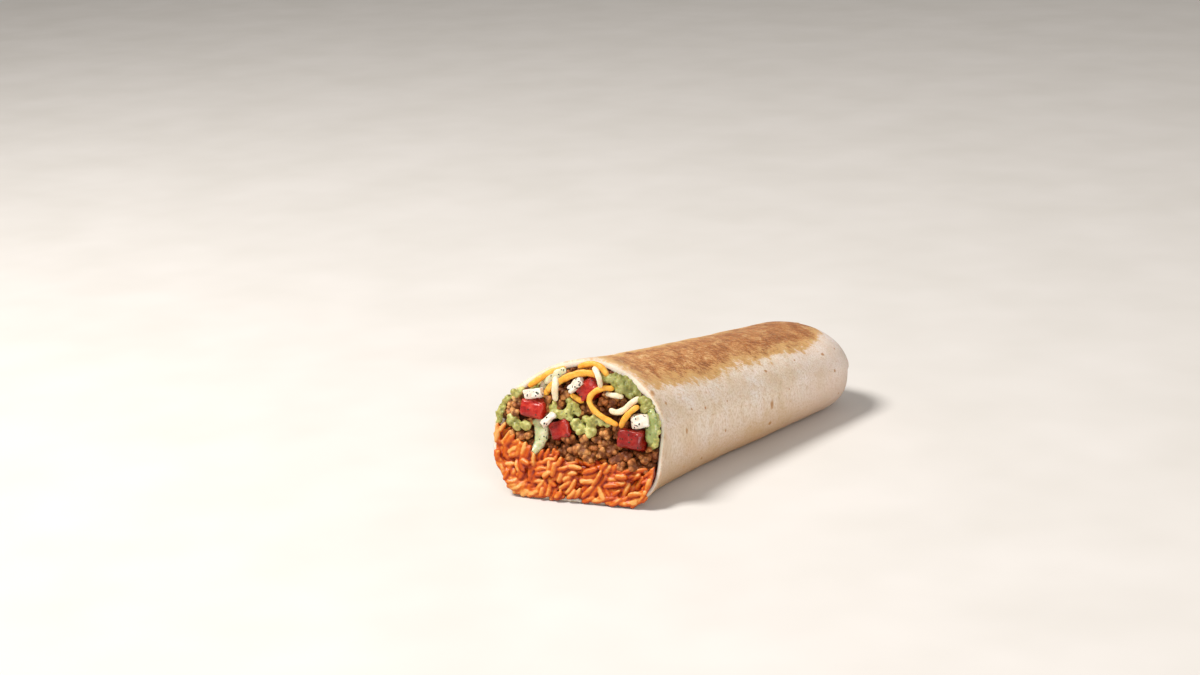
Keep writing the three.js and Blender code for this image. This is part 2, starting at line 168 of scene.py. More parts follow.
def section(y):
    share = np.clip(y / LENGTH, 0, 1)
    spread = np.exp(-np.maximum(y, 0) / SPREAD_LENGTH)
    half_width = (
        between(BODY_SIZE[0], END_SIZE[0], share) + (CUT_SIZE[0] - BODY_SIZE[0]) * spread
    ) / 2
    height = between(BODY_SIZE[1], END_SIZE[1], share) + (CUT_SIZE[1] - BODY_SIZE[1]) * spread
    return half_width, height, between(*TOP_POWERS, share), between(*FOOT_POWERS, share), spread


def on_section(angle, y, inset=0.0, scale=1.0):
    """x and z of the skin at an angle round the roll, inset from it."""
    half_width, height, top_power, foot_power, spread = section(y)
    power = 2 / np.where(np.sin(angle) > 0, top_power, foot_power)
    middle = height / 2
    x = bent(np.cos(angle), power) * (half_width - inset) * scale
    rise = bent(np.sin(angle), power) * (middle + FLAT_FOOT - inset) * scale
    z = np.maximum(middle + rise, inset)
    slump = -SLUMP * spread * (z - SLUMP_PIVOT * height)
    near_cut = np.exp(-np.maximum(0, y - cut_y(x, z)) / FLARE_LENGTH)
    flare = FLARE * near_cut * np.clip(1 - z / middle, 0, 1) * (x / half_width)
    return x + slump + flare, z


def spiral_step(angle):
    """The rolled sheet spirals out by its own thickness, and steps back at its free edge."""
    turn = (angle - SEAM_ANGLE) % (2 * np.pi)
    return SEAM_STEP * (1 - turn / (2 * np.pi)) ** SEAM_FADE


def in_frame(x, y, z):
    return np.stack(np.broadcast_arrays(x, y, z), -1) * MM + np.array(SHIFT)


def from_foot(points):
    """Points of the frame as millimetres from the foot of the cut."""
    return (points - np.array(SHIFT)) / MM


OUTWARD = Vector((CUT_SKEW, -1, CUT_LEAN)).normalized()
RIGHT = Vector((1, CUT_SKEW, 0)).normalized()
UPWARD = OUTWARD.cross(RIGHT).normalized()


def on_cut(x, z, out=0.0):
    """A point of the cut at x and z, raised in front of it, all in millimetres."""
    return Vector((x, cut_y(x, z), z)) * MM + SHIFT + OUTWARD * (out * MM)


print("cut faces", [round(v, 2) for v in OUTWARD])

# %% [markdown]
# ## The tortilla
# A tortilla is one flat sheet, rolled up. Its skin here is made as a hand would make it
# with rings: a circle is added deep in the roll, extruded ring by ring forward along the
# inner wall, turned over at the rim, and run back along the outer skin to the folded end.
# After each extrusion the new ring is laid on the form. The ring has extra points at the
# sheet's free edge, so that the step there stays sharp when the skin is subdivided.

# %% Rings of the tortilla
RING_STEPS = 74
EDGE_STEPS = [0, 0.5, 1.4, 3.0], [-4.5, -2.4, -1.5]  # degrees after and before the edge
EVEN = np.linspace(6.5, 352.0, RING_STEPS)
TURNS = np.radians(np.concatenate([EDGE_STEPS[0], EVEN, 360 + np.array(EDGE_STEPS[1])]))
ANGLES = SEAM_ANGLE + TURNS
RIM_RINGS = 6
BODY_RINGS, CAP_RINGS = 30, 13
WALL_RINGS, WALL_CAP_RINGS = 8, 5
FOLD_AT, FOLD_WIDTH = math.radians(56), math.radians(20)  # the rim is thickest at this fold
from_fold = (np.mod(ANGLES, 2 * np.pi) - FOLD_AT) / FOLD_WIDTH
RIM_THICK = 1.5 + 0.9 * np.clip(np.sin(ANGLES), 0, 1) + 0.15 * np.sin(7 * ANGLES + 2)
RIM_THICK += (1.1 + 0.35 * np.sin(17 * ANGLES)) * np.exp(-from_fold**2)
RIM_BULGE, RIM_DEPTH = 0.4, 0.6
RAGGED = 0.3 * np.sin(5 * ANGLES + 1) + 0.25 * np.sin(9 * ANGLES) + 0.15 * np.sin(14 * ANGLES)
RAGGED_REACH = 4
WALL_CROWDING, BODY_CROWDING = 1.5, 1.35  # rings lie closer together near the cut
SLANT_FADE = 1.5
WALL_THINS_OVER = 0, 14


def cap(end, count):
    """Stations that close a roll at its far end, as (y, scale)."""
    for i in range(1, count):
        into = math.sin(math.pi / 2 * i / count) ** (2 / END_POWER)
        yield end - END_ROUND * (1 - into), (1 - into**END_POWER) ** (1 / END_POWER)


def laid(y, scale, inset, on_the_cut, front=0.0, spiral=1.0):
    """The points of one ring. `on_the_cut` slants it as the cut does."""
    skin = inset - spiral * spiral_step(ANGLES) * scale
    along = y + on_the_cut * cut_y(*on_section(ANGLES, y, skin, scale))
    along = along + RAGGED * np.exp(-max(y, 0) / RAGGED_REACH)
    x, z = on_section(ANGLES, along, skin, scale)
    return np.stack([x, along - front, np.maximum(z, 0 if spiral else inset)], -1)


rings = []  # (points, scale, how far out through the sheet: 0 inside, 1 outside)
wall_end = LENGTH - 2 * WRAP
for y, scale in reversed(list(cap(wall_end, WALL_CAP_RINGS))):
    rings.append((laid(y, scale, WRAP, 0, spiral=0), scale, 0))
for i in range(WALL_RINGS, -1, -1):
    share = (i / WALL_RINGS) ** WALL_CROWDING
    y = between(RIM_DEPTH, wall_end - END_ROUND, share)
    inset = between(RIM_THICK, WRAP, float(eased(*WALL_THINS_OVER, y)))
    rings.append((laid(y, 1, inset, (1 - share) ** SLANT_FADE, spiral=0), 1, 0))
for i in range(1, RIM_RINGS):
    turn = math.pi * i / RIM_RINGS
    through = (1 - math.cos(turn)) / 2
    ring = laid(RIM_DEPTH * (1 - through), 1, RIM_THICK * (1 - through), 1,
                math.sin(turn) * RIM_BULGE, through)
    rings.append((ring, 1, through))
for i in range(BODY_RINGS + 1):
    share = (i / BODY_RINGS) ** BODY_CROWDING
    rings.append((laid(share * (LENGTH - END_ROUND), 1, 0, (1 - share) ** SLANT_FADE), 1, 1))
for y, scale in cap(LENGTH, CAP_RINGS):
    rings.append((laid(y, scale, 0, 0), scale, 1))
print(len(rings), "rings of", len(ANGLES), "points")

# %% [markdown]
# ## From a circle to a sheet
# Extruding a ring adds a new ring that is joined to the old one by a band of faces.
# `extruded` does that once, and hands the new ring back in the old one's order, so that
# each point can be set at its own place. At the end the first and the last ring are extruded
# once more and merged to a point each, which closes the sheet.

# %% Extrude the rings
def extruded(obj, loop):
    """Extrudes the selected ring once. The new ring comes back in the old one's order."""
    bpy.ops.mesh.extrude_region_move()
    mesh = bmesh.from_edit_mesh(obj.data)
    mesh.verts.index_update()
    behind = {v.index: i for i, v in enumerate(loop)}
    following = [None] * len(loop)
    for v in (v for v in mesh.verts if v.select):
        old = next(e.other_vert(v) for e in v.link_edges if not e.other_vert(v).select)
        following[behind[old.index]] = v
    return mesh, following


bpy.ops.object.select_all(action="DESELECT")
bpy.ops.mesh.primitive_circle_add(vertices=len(ANGLES), radius=MEAN_RADIUS * MM)
tortilla = bpy.context.object
edit(tortilla)
mesh = bmesh.from_edit_mesh(tortilla.data)
loop = list(mesh.verts)
place_of = {}  # vertex number: (ring, point of the ring)
for number, (points, _, _) in enumerate(rings):
    if number:
        mesh, loop = extruded(tortilla, loop)
    for step, (v, place) in enumerate(zip(loop, in_frame(*points.T))):
        v.co = place
        place_of[v.index] = number, step
bmesh.update_edit_mesh(tortilla.data)
for last in (False, True):  # close the folded end, and the wall's end inside it
    mesh = bmesh.from_edit_mesh(tortilla.data)
    mesh.verts.ensure_lookup_table()
    count = len(ANGLES)
    chosen = range(count * (len(rings) - 1), count * len(rings)) if last else range(count)
    bpy.ops.mesh.select_all(action="DESELECT")
    for i in chosen:
        mesh.verts[i].select = True
    mesh.select_flush_mode()
    bpy.ops.mesh.extrude_region_move()
    bpy.ops.mesh.merge(type="CENTER")
bpy.ops.mesh.select_all(action="SELECT")
bpy.ops.mesh.normals_make_consistent(inside=False)
leave()
print("tortilla:", len(tortilla.data.vertices), "points before subdivision")

# %% [markdown]
# ## Facts along the skin
# Each point of the rings knows its turn round the roll and its place along it. They are
# stored on the mesh before it is subdivided, and the new points in between get theirs by
# the same rule as their places. Turns are stored as a sine and cosine, which can be averaged.

# %% Subdivide the skin and mark it
def subdivided(obj, levels):
    return shaped(obj, "SUBSURF", levels=levels, render_levels=levels)


def smooth_shaded(obj):
    only(obj)
    bpy.ops.object.shade_smooth()
    return obj


def mark(obj, name, values):
    """Stores a number for each vertex, or one for all, for a material to read."""
    layer = obj.data.attributes.get(name) or obj.data.attributes.new(name, "FLOAT", "POINT")
    every = np.broadcast_to(values, len(obj.data.vertices))
    layer.data.foreach_set("value", every.astype(np.float32))


def marked(obj, name):
    values = np.empty(len(obj.data.vertices), np.float32)
    obj.data.attributes[name].data.foreach_get("value", values)
    return values.astype(float)


ring_number = np.full(len(tortilla.data.vertices), -1)
turn_number = np.zeros(len(tortilla.data.vertices), int)
for index, (number, step) in place_of.items():
    ring_number[index], turn_number[index] = number, step
for index in np.flatnonzero(ring_number < 0):  # the two closing points
    near_end = tortilla.data.vertices[index].co.y > SHIFT.y + (LENGTH - 1) * MM
    ring_number[index] = len(rings) - 1 if near_end else 0
ring_along = np.array([points[:, 1] for points, _, _ in rings])
mark(tortilla, "turn_sin", np.sin(TURNS)[turn_number])
mark(tortilla, "turn_cos", np.cos(TURNS)[turn_number])
mark(tortilla, "along", ring_along[ring_number, turn_number])
mark(tortilla, "outside", np.array([through for _, _, through in rings])[ring_number])
subdivided(tortilla, 2)
smooth_shaded(tortilla)
turn = np.arctan2(marked(tortilla, "turn_sin"), marked(tortilla, "turn_cos")) % (2 * np.pi)
along = marked(tortilla, "along")
outside = marked(tortilla, "outside")
print("tortilla:", len(tortilla.data.polygons), "faces")

# %% [markdown]
# ## Uneven surfaces
# The Displace modifier pushes every point along its normal by a pattern. Most pieces of food
# get a cloudy one, once for broad lumps and again for small ones. The points can also be read
# as an array, moved by a formula and written back.

# %% Push a surface in and out
def points_of(obj):
    flat = np.empty(len(obj.data.vertices) * 3, np.float32)
    obj.data.vertices.foreach_get("co", flat)
    return flat.reshape(-1, 3).astype(float)


def set_points(obj, points):
    obj.data.vertices.foreach_set("co", np.asarray(points, np.float32).ravel())
    obj.data.update()


def normals_of(obj):
    flat = np.empty(len(obj.data.vertices) * 3, np.float32)
    obj.data.vertex_normals.foreach_get("vector", flat)
    return flat.reshape(-1, 3).astype(float)


def pushed(obj, pattern, depth, seed=0, mid_level=0.5):
    """Pushes the surface in and out by a pattern. The seed picks another part of it."""
    obj.data.transform(Matrix.Translation(Vector((seed, 0, 0))))
    shaped(obj, "DISPLACE", texture=pattern, strength=depth, mid_level=mid_level,
           texture_coords="LOCAL")
    obj.data.transform(Matrix.Translation(Vector((-seed, 0, 0))))
    return obj


def roughened(obj, size, depth, seed=0):
    """Pushes the surface in and out in soft lumps of that size."""
    clouds = bpy.data.textures.new("clouds", "CLOUDS")
    clouds.noise_scale = size
    clouds.noise_depth = 2
    return pushed(obj, clouds, depth, seed)


print("skin points:", len(points_of(tortilla)))

# %% [markdown]
# ## Dents, and the folded end
# A rolled tortilla is never quite even. Two cloudy displacements give it broad dents and
# small blisters. At the folded end the sides of the sheet are tucked over each other. Each
# tuck is a thin step that runs in a curve over the end and dies away to one side, so it is
# made by raising the points on that side of the curve.

# %% Dents and tucks
TUCKED_OVER = LENGTH - 16, LENGTH - 3
ON_THE_SKIN = 0.99
roughened(tortilla, size=24 * MM, depth=0.9 * MM)
roughened(tortilla, size=5 * MM, depth=0.16 * MM, seed=0.3)
skin_points = points_of(tortilla)
skin_normals = normals_of(tortilla)
local = from_foot(skin_points)
end_width, end_height = END_SIZE
across = local[:, 0] / (end_width / 2)
rise = (local[:, 2] - end_height / 2) / (end_height / 2)
near_end = eased(*TUCKED_OVER, along) * (outside > ON_THE_SKIN)


def tuck(distance, height, reach):
    """A step up at distance 0 that fades out over its reach."""
    return height * eased(-0.02, 0.02, distance) * np.exp(-np.maximum(distance, 0) / reach)


left_flap = tuck(-(across + 0.28 + 0.25 * rise - 0.5 * rise**2), 1.5, 0.35)
top_flap = tuck(rise - 0.12 - 0.35 * across + 0.5 * across**2, 1.1, 0.35)
crease = -0.5 * np.exp(-(((across - 0.35 - 0.3 * rise) / 0.06) ** 2)) * eased(0, 0.4, -rise)
lift = np.maximum(left_flap, top_flap) + crease
skin_points += skin_normals * (lift * near_end)[:, None] * MM
skin_points[:, 2] = np.maximum(skin_points[:, 2], 0)
set_points(tortilla, skin_points)
print("lift at the end, mm:", round(float(lift.max()), 2))

# %% [markdown]
# ## Where the hot plate browned it
# The roll was pressed on a hot plate, which left one long brown band over the top. The
# band's two edges are given as angles round the roll at some places along it. Each point
# stores how far inside the band it lies, in millimetres. The material turns that into
# colour with a ragged, streaky edge. How far each point is behind the cut is stored too.

# %% Mark the browned band
LOWER_EDGE = [
    (23, 52), (27, 43), (42, 41.5), (55, 38.5), (70, 40.5), (82, 43.5),
    (103, 44), (112, 45), (123, 44), (134, 49), (142, 56), (147, 66), (151, 82),
]
UPPER_EDGE = [
    (23, 98), (45, 103), (68, 106), (88, 109), (110, 114), (130, 121), (145, 112), (151, 96),
]
FRONT_STRIP = 2.6
BAND_END, END_SLOPE = 150, 1.2
BAND_RANGE, BEHIND_RANGE = (-12, 20), (-2, 20)

degrees_round = (np.degrees(turn + SEAM_ANGLE) + 90) % 360 - 90
local = from_foot(points_of(tortilla))
per_degree = MEAN_RADIUS * math.pi / 180
above = (degrees_round - np.interp(along, *zip(*LOWER_EDGE))) * per_degree
below = (np.interp(along, *zip(*UPPER_EDGE)) - degrees_round) * per_degree
behind_rim = along - cut_y(local[:, 0], local[:, 2]) - FRONT_STRIP
before_end = (BAND_END - along) * END_SLOPE
inside_band = np.minimum.reduce([above, below, behind_rim, before_end])
mark(tortilla, "band", np.clip(inside_band, *BAND_RANGE))
mark(tortilla, "behind", np.clip(behind_rim + FRONT_STRIP, *BEHIND_RANGE))
print("browned share of points:", round(float((inside_band > 0).mean()), 3))

# %% [markdown]
# ## The flat map
# A UV map says where each corner of each face lies on the flat sheet, so that streaks and
# flecks follow the sheet round the roll. Its turn gives one coordinate, and its place along
# the roll the other. Faces that close the last turn would reach back over the whole map, so
# their corners at turn 0 are moved on by a full turn.

# %% The flat map
loops_vertex = np.empty(len(tortilla.data.loops), np.int32)
tortilla.data.loops.foreach_get("vertex_index", loops_vertex)
totals = np.array([p.loop_total for p in tortilla.data.polygons])
face_of_loop = np.repeat(np.arange(len(totals)), totals)
loop_turn = turn[loops_vertex]
most = np.full(len(totals), -np.inf)
np.maximum.at(most, face_of_loop, loop_turn)
wrapped = (most[face_of_loop] - loop_turn) > np.pi
loop_turn = loop_turn + 2 * np.pi * wrapped
flat = np.stack([loop_turn * MEAN_RADIUS, along[loops_vertex]], -1) * MM
sheet_map = tortilla.data.uv_layers.new(name="sheet")
sheet_map.data.foreach_set("uv", flat.astype(np.float32).ravel())
print("corners moved on by a turn:", int(wrapped.sum()))

# %% [markdown]
# ## Building materials
# Every finish is a small tree of nodes. `Finish` keeps the trees short to write: `add`
# makes a node and joins its inputs, and the other methods make the patterns that food
# needs. Colours are given as they look on a screen, and changed to linear light.

# %% A finish
def colour(*rgb):
    """A screen colour from 0 to 255 as linear light."""
    shares = [v / 255 for v in rgb]
    return [v / 12.92 if v < 0.04045 else ((v + 0.055) / 1.055) ** 2.4 for v in shares] + [1]


class Finish:
    def __init__(self, name, **sockets):
        self.material = bpy.data.materials.new(name)
        self.material.use_nodes = True
        self.tree = self.material.node_tree
        self.tree.nodes.clear()
        self.shader = self.add("ShaderNodeBsdfPrincipled", **sockets)
        output = self.add("ShaderNodeOutputMaterial")
        self.tree.links.new(self.shader.outputs[0], output.inputs["Surface"])

    def add(self, kind, settings=(), **inputs):
        node = self.tree.nodes.new(kind)
        for key, value in dict(settings).items():
            setattr(node, key, value)
        for key, value in inputs.items():
            socket = node.inputs[key.replace("_", " ")]
            self.put(socket, value)
        return node

    def put(self, socket, value):
        if isinstance(value, bpy.types.NodeSocket):
            self.tree.links.new(value, socket)
        else:
            socket.default_value = value

    def attribute(self, name):
        return self.add("ShaderNodeAttribute", {"attribute_name": name}).outputs["Fac"]

    def here(self, stretch=(1, 1, 1), turn=0.0, uv=None):
        """Coordinates for a pattern, drawn out by `stretch` along axes turned by `turn`."""
        if uv:
            source = self.add("ShaderNodeUVMap", {"uv_map": uv}).outputs[0]
        else:
            source = self.add("ShaderNodeTexCoord").outputs["Object"]
        mapping = self.add("ShaderNodeMapping", {"vector_type": "TEXTURE"}, Vector=source,
                           Scale=stretch)
        mapping.inputs["Rotation"].default_value = (0, 0, math.radians(turn))
        return mapping.outputs[0]

    def noise(self, where, size, detail=3.0, rough=0.55, distortion=0.0):
        """Cloudy noise whose lumps are about `size` millimetres."""
        node = self.add(
            "ShaderNodeTexNoise", Vector=where, Scale=1 / (size * MM), Detail=detail,
            Roughness=rough, Distortion=distortion,
        )
        return node.outputs[0]

    def sums(self, operation, a, b):
        node = self.add("ShaderNodeMath", {"operation": operation})
        for socket, value in zip(node.inputs, (a, b)):
            self.put(socket, value)
        return node.outputs[0]

    def plus(self, a, b):
        return self.sums("ADD", a, b)

    def times(self, a, b):
        return self.sums("MULTIPLY", a, b)

    def rest_of(self, share):
        return self.sums("SUBTRACT", 1.0, share)

    def span(self, value, low, high, to_low=0.0, to_high=1.0, smooth=True):
        """Carries low..high over to to_low..to_high, and stops at both ends."""
        node = self.add("ShaderNodeMapRange", {
            "interpolation_type": "SMOOTHSTEP" if smooth else "LINEAR"
        }, Value=value)
        for key, number in zip(("From Min", "From Max", "To Min", "To Max"),
                               (low, high, to_low, to_high)):
            node.inputs[key].default_value = number
        return node.outputs[0]

    def ramp(self, value, *stops):
        """A run of colours. Each stop is (place, screen colour)."""
        node = self.add("ShaderNodeValToRGB", Fac=value)
        elements = node.color_ramp.elements
        for element, (place, rgb) in zip(elements, stops):
            element.position, element.color = place, colour(*rgb)
        for place, rgb in stops[2:]:
            elements.new(place).color = colour(*rgb)
        return node.outputs[0]

    def mix(self, share, a, b, blend="MIX"):
        node = self.add("ShaderNodeMix", {"data_type": "RGBA", "blend_type": blend})
        ends = [colour(*v) if isinstance(v, tuple) else v for v in (a, b)]
        for socket, value in zip((node.inputs[0], node.inputs[6], node.inputs[7]),
                                 (share, *ends)):
            self.put(socket, value)
        return node.outputs[2]

    def bump(self, height, distance, strength=1.0, onto=None):
        node = self.add("ShaderNodeBump", Height=height, Distance=distance * MM,
                        Strength=strength)
        if onto:
            self.put(node.inputs["Normal"], onto)
        return node.outputs[0]

    def finish(self, base, roughness=None, normal=None):
        self.put(self.shader.inputs["Base Color"], base)
        if roughness is not None:
            self.put(self.shader.inputs["Roughness"], roughness)
        if normal is not None:
            self.put(self.shader.inputs["Normal"], normal)
        return self.material


print("finish ready")

# %% [markdown]
# ## The baked sheet
# Plain baked dough is cream with faint pink and beige clouds, and dusty, so it is quite
# rough. Fine tan speckles cover it, more of them in some patches. Near the board it is more
# tan, partly its own tint and partly painted shade where it meets the board, and towards the
# folded end a little pinker. The patterns lie on the flat map, except on the folded end, where
# the map is pinched and noise in space takes over.

# %% Dough
STREAK_TURN = 130  # degrees between the sheet's grain and the roll
dough = Finish("baked_tortilla", Roughness=0.62, Subsurface_Weight=0.12,
               Subsurface_Scale=0.004)
flat_sheet = dough.here(uv="sheet")
at_end = dough.span(dough.attribute("along"), LENGTH - 24, LENGTH - 12)


def on_skin(size, detail, rough, distortion=0.0):
    """Noise on the flat sheet, which at the folded end gives way to noise in space."""
    flat_noise = dough.noise(flat_sheet, size, detail, rough, distortion)
    space_noise = dough.noise(dough.here(), size, detail, rough, distortion)
    return dough.plus(dough.times(space_noise, at_end),
                      dough.times(flat_noise, dough.rest_of(at_end)))


cloudy = on_skin(15, 5, 0.62)
fine = on_skin(0.9, 5, 0.75)
cream = dough.ramp(cloudy, (0.32, (224, 200, 170)), (0.5, (236, 219, 202)),
                   (0.68, (243, 231, 223)))
patchy = on_skin(3.4, 5, 0.72, 0.3)
cream = dough.mix(dough.span(patchy, 0.48, 0.7, 0, 0.5), cream, (212, 182, 144))
cream = dough.mix(dough.span(fine, 0.44, 0.62, 0, 0.62), cream, (204, 176, 142))
drawn_out = dough.here((1.8, 1, 1), STREAK_TURN, uv="sheet")
speckle = dough.span(dough.noise(drawn_out, 0.9, 3, 0.7), 0.53, 0.66, 0, 0.6)
speckle = dough.times(speckle, dough.span(patchy, 0.44, 0.6, 0.3, 1))
cream = dough.mix(speckle, cream, (190, 150, 100))
height = dough.add("ShaderNodeSeparateXYZ", Vector=dough.here()).outputs[2]
# Painted shade near the board, mixed with a tan tint of its own.
cream = dough.mix(dough.span(height, 0.001, 0.023, 0.85, 0), cream, (194, 152, 104))
pinker = dough.span(dough.attribute("along"), 90, 150, 0, 0.35)
cream = dough.mix(pinker, cream, (230, 214, 212))
print("dough:", len(dough.tree.nodes), "nodes")

# %% [markdown]
# ## The browned band
# The band goes from cream through gold to brown. Two noises shift the stored distance into
# the band, which makes its edge ragged and drawn out in short streaks across the roll. A
# mixture of three noises picks the brown, and pale dashes stay where the plate did not touch.

# %% Browned band
streak = dough.noise(dough.here((3.2, 1, 1), STREAK_TURN, uv="sheet"), 0.75, 5, 0.7, 0.5)
mottle = dough.noise(flat_sheet, 6, 4, 0.6, 0.5)
band = dough.attribute("band")
ragged = dough.plus(band, dough.span(streak, 0.3, 0.7, -2.6, 2.6, False))
ragged = dough.plus(ragged, dough.span(mottle, 0.3, 0.7, -3.0, 3.0, False))
gold = dough.span(ragged, -3.0, 0.6)
brown = dough.span(ragged, 0.2, 6.5)
toasted = dough.mix(dough.times(gold, 0.9), cream, (206, 158, 90))
crumb = dough.noise(flat_sheet, 0.7, 3, 0.7)
depth = dough.plus(dough.times(streak, 0.45), dough.times(mottle, 0.35))
depth = dough.plus(depth, dough.times(crumb, 0.2))
deep_brown = dough.ramp(depth, (0.40, (228, 192, 142)), (0.45, (206, 150, 92)),
                        (0.51, (174, 108, 56)), (0.59, (126, 70, 32)))
dashes = dough.noise(dough.here((4.5, 1, 1), STREAK_TURN, uv="sheet"), 0.45, 3, 0.6, 0.3)
deep_brown = dough.mix(dough.span(dashes, 0.55, 0.68, 0, 0.7), deep_brown, (236, 202, 158))
toasted = dough.mix(dough.times(brown, 0.96), toasted, deep_brown)
far_along = dough.span(dough.attribute("along"), 20, 150, 0, 0.35)
toasted = dough.mix(dough.times(brown, far_along), toasted, (146, 84, 34))
print("band added:", len(dough.tree.nodes), "nodes")

# %% [markdown]
# ## Blisters
# Small blisters outside the band caught the heat as well, and left brown flecks. The larger
# ones are given one by one by their places on the flat sheet. Tiny ones come from a cell
# pattern that keeps only some of its cells. The coordinates wander a little by a noise, so
# that no fleck is quite round.

# %% Blisters
BLISTERS = [  # degrees round, millimetres along, size
    (29, 93, 0.9), (3, 104, 0.6), (27, 28, 1.0), (15, 42, 0.7), (-19, 140, 0.7), (7, 136, 1.0),
    (30, 132, 1.1), (33, 142, 0.8), (32, 113, 0.7), (12, 50, 0.7), (-1, 37, 0.8), (-3, 92, 1.4),
    (-20, 92, 1.3), (-28, 48, 1.0), (-8, 62, 0.7), (12, 64, 0.6), (38, 24, 1.4),
]
WANDER = 1.2 * MM
uv_point = dough.add("ShaderNodeUVMap", {"uv_map": "sheet"}).outputs[0]
wobble = dough.add("ShaderNodeVectorMath", {"operation": "SCALE"})
dough.put(wobble.inputs[0], dough.add("ShaderNodeTexNoise", Vector=flat_sheet,
                                      Scale=900.0).outputs[1])
wobble.inputs["Scale"].default_value = WANDER
wandering = dough.add("ShaderNodeVectorMath", {"operation": "ADD"})
dough.put(wandering.inputs[0], uv_point)
dough.put(wandering.inputs[1], wobble.outputs[0])
scattered = dough.add("ShaderNodeTexVoronoi", Vector=wandering.outputs[0], Scale=70.0)
chance = dough.add("ShaderNodeSeparateXYZ", Vector=scattered.outputs["Color"]).outputs[0]
flecks = dough.times(dough.span(scattered.outputs["Distance"], 0.02, 0.07, 1, 0),
                     dough.span(chance, 0.5, 0.8, 0, 0.8))
for degrees, place, size in BLISTERS:
    around = math.radians((degrees - SEAM_DEGREES) % 360)
    far = dough.add("ShaderNodeVectorMath", {"operation": "DISTANCE"})
    dough.put(far.inputs[0], wandering.outputs[0])
    far.inputs[1].default_value = Vector((around * MEAN_RADIUS * MM, place * MM, 0)) + Vector(
        (WANDER, WANDER, WANDER)) / 2
    fleck = dough.span(far.outputs["Value"], size * 0.3 * MM, size * 1.1 * MM, 1, 0)
    flecks = dough.sums("MAXIMUM", flecks, fleck)
toasted = dough.mix(dough.times(flecks, 0.85), toasted, (178, 120, 52))
print("blisters added:", len(dough.tree.nodes), "nodes")

# %% [markdown]
# ## The sheet's cut edge
# Just behind the cut the skin is darker, most of all on the right. The raw edge shows the
# pale crumb of the dough. Low on the right its inside is stained by the filling's juice, with
# painted shadow of the narrow gap between filling and sheet. The same fine noise and streaks
# that colour the dough also give it relief.

# %% Cut edge and relief
rightward = dough.add("ShaderNodeSeparateXYZ", Vector=dough.here()).outputs[0]
toasted = dough.mix(dough.span(dough.attribute("behind"), 1, 16, 0.25, 0), toasted,
                    (204, 166, 122))
uneven = dough.span(fine, 0.3, 0.7, 0.8, -1.2, False)
edge = dough.span(dough.plus(dough.attribute("behind"), uneven), 0.0, 3.2, 0.7, 0)
edge = dough.times(edge, dough.span(rightward, 0.008, 0.022))
toasted = dough.mix(edge, toasted, (190, 146, 98))
raw = dough.rest_of(dough.attribute("outside"))
toasted = dough.mix(dough.span(raw, 0.02, 0.3, 0, 0.94), toasted, (250, 238, 220))
# The filling's juice stain and painted shadow of the gap, low on the inside to the right.
juice_and_shadow = dough.times(dough.span(raw, 0.55, 0.95, 0, 0.85), dough.span(rightward, 0.0, 0.020))
juice_and_shadow = dough.times(juice_and_shadow, dough.span(height, 0.024, 0.033, 1, 0))
toasted = dough.mix(juice_and_shadow, toasted, (128, 74, 38))
relief = dough.bump(fine, 0.22, 0.8)
relief = dough.bump(streak, 0.25, dough.times(brown, 0.5), relief)
tortilla_finish = dough.finish(toasted, dough.span(brown, 0, 1, 0.66, 0.5), relief)
print("tortilla finish:", len(dough.tree.nodes), "nodes")

# %% [markdown]
# ## Handing a piece over
# A finished piece is named, given its material and shaded smooth. Then it rides on the
# burrito's one body, and stands for the solids that it replaces.

# %% Place a finished piece
def placed(obj, name, material, slot, *nodes):
    """Names a finished piece, and lets it stand for the solids it replaces."""
    obj.name = obj.data.name = name
    obj.data.materials.clear()
    obj.data.materials.append(material)
    smooth_shaded(obj)
    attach(obj, "root")
    if nodes:
        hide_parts(*nodes)
    print(f"{name}: {len(obj.data.polygons)} faces")
    return obj


placed(tortilla, "tortilla_sheet", tortilla_finish, "tortilla", "tortilla")

# %% [markdown]
# ## Cores of the three layers
# Rice, beef and guacamole run right through the roll. Only their cut ends can be seen, and
# those are covered with real grains and crumbles. So each layer keeps a core: a copy of the
# plain solid, merged, melted into one skin, and drawn in a little. At the cut it is pushed
# back further, so that the loose pieces in front of it have dark hollows between them.

# %% Cores
def rounded_over(obj, voxel, smoothing, rounds=4):
    """Melts overlapping forms into one closed skin, and softens it."""
    shaped(obj, "REMESH", mode="VOXEL", voxel_size=voxel, adaptivity=0)
    return shaped(obj, "SMOOTH", factor=smoothing, iterations=rounds)


MUSHY_SIDE = -6, -17  # x where the rice turns from loose grains to a sauced mush
CORE_VOXEL = 1.1
PUSHED_OVER = -12, -1  # in front of the cut: the push back grows from the first to the second


def mushy(x):
    return eased(-MUSHY_SIDE[0], -MUSHY_SIDE[1], -x)


def core(node, name, back_off, drawn_in):
    """A layer's core. Its cut end is pushed back, on the loose side and the mushy side."""
    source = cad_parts[node]
    kind = source.copy()
    kind.data = source.data.copy()
    kind.parent = None
    for key in list(kind.keys()):
        del kind[key]
    bpy.context.collection.objects.link(kind)
    edit(kind)
    bpy.ops.mesh.remove_doubles(threshold=0.01 * MM)
    bpy.ops.mesh.normals_make_consistent(inside=False)
    leave()
    rounded_over(kind, CORE_VOXEL * MM, 0.5, 3)
    edit(kind)
    bpy.ops.transform.shrink_fatten(value=-drawn_in * MM)
    leave()
    points = points_of(kind)
    local = from_foot(points)
    ahead = cut_y(local[:, 0], local[:, 2]) - local[:, 1]
    pushed_back = eased(*PUSHED_OVER, ahead) * between(*back_off, mushy(local[:, 0]))
    points -= np.array(OUTWARD) * pushed_back[:, None] * MM
    set_points(kind, points)
    roughened(kind, size=3.0 * MM, depth=0.9 * MM)
    kind.name = name
    return kind


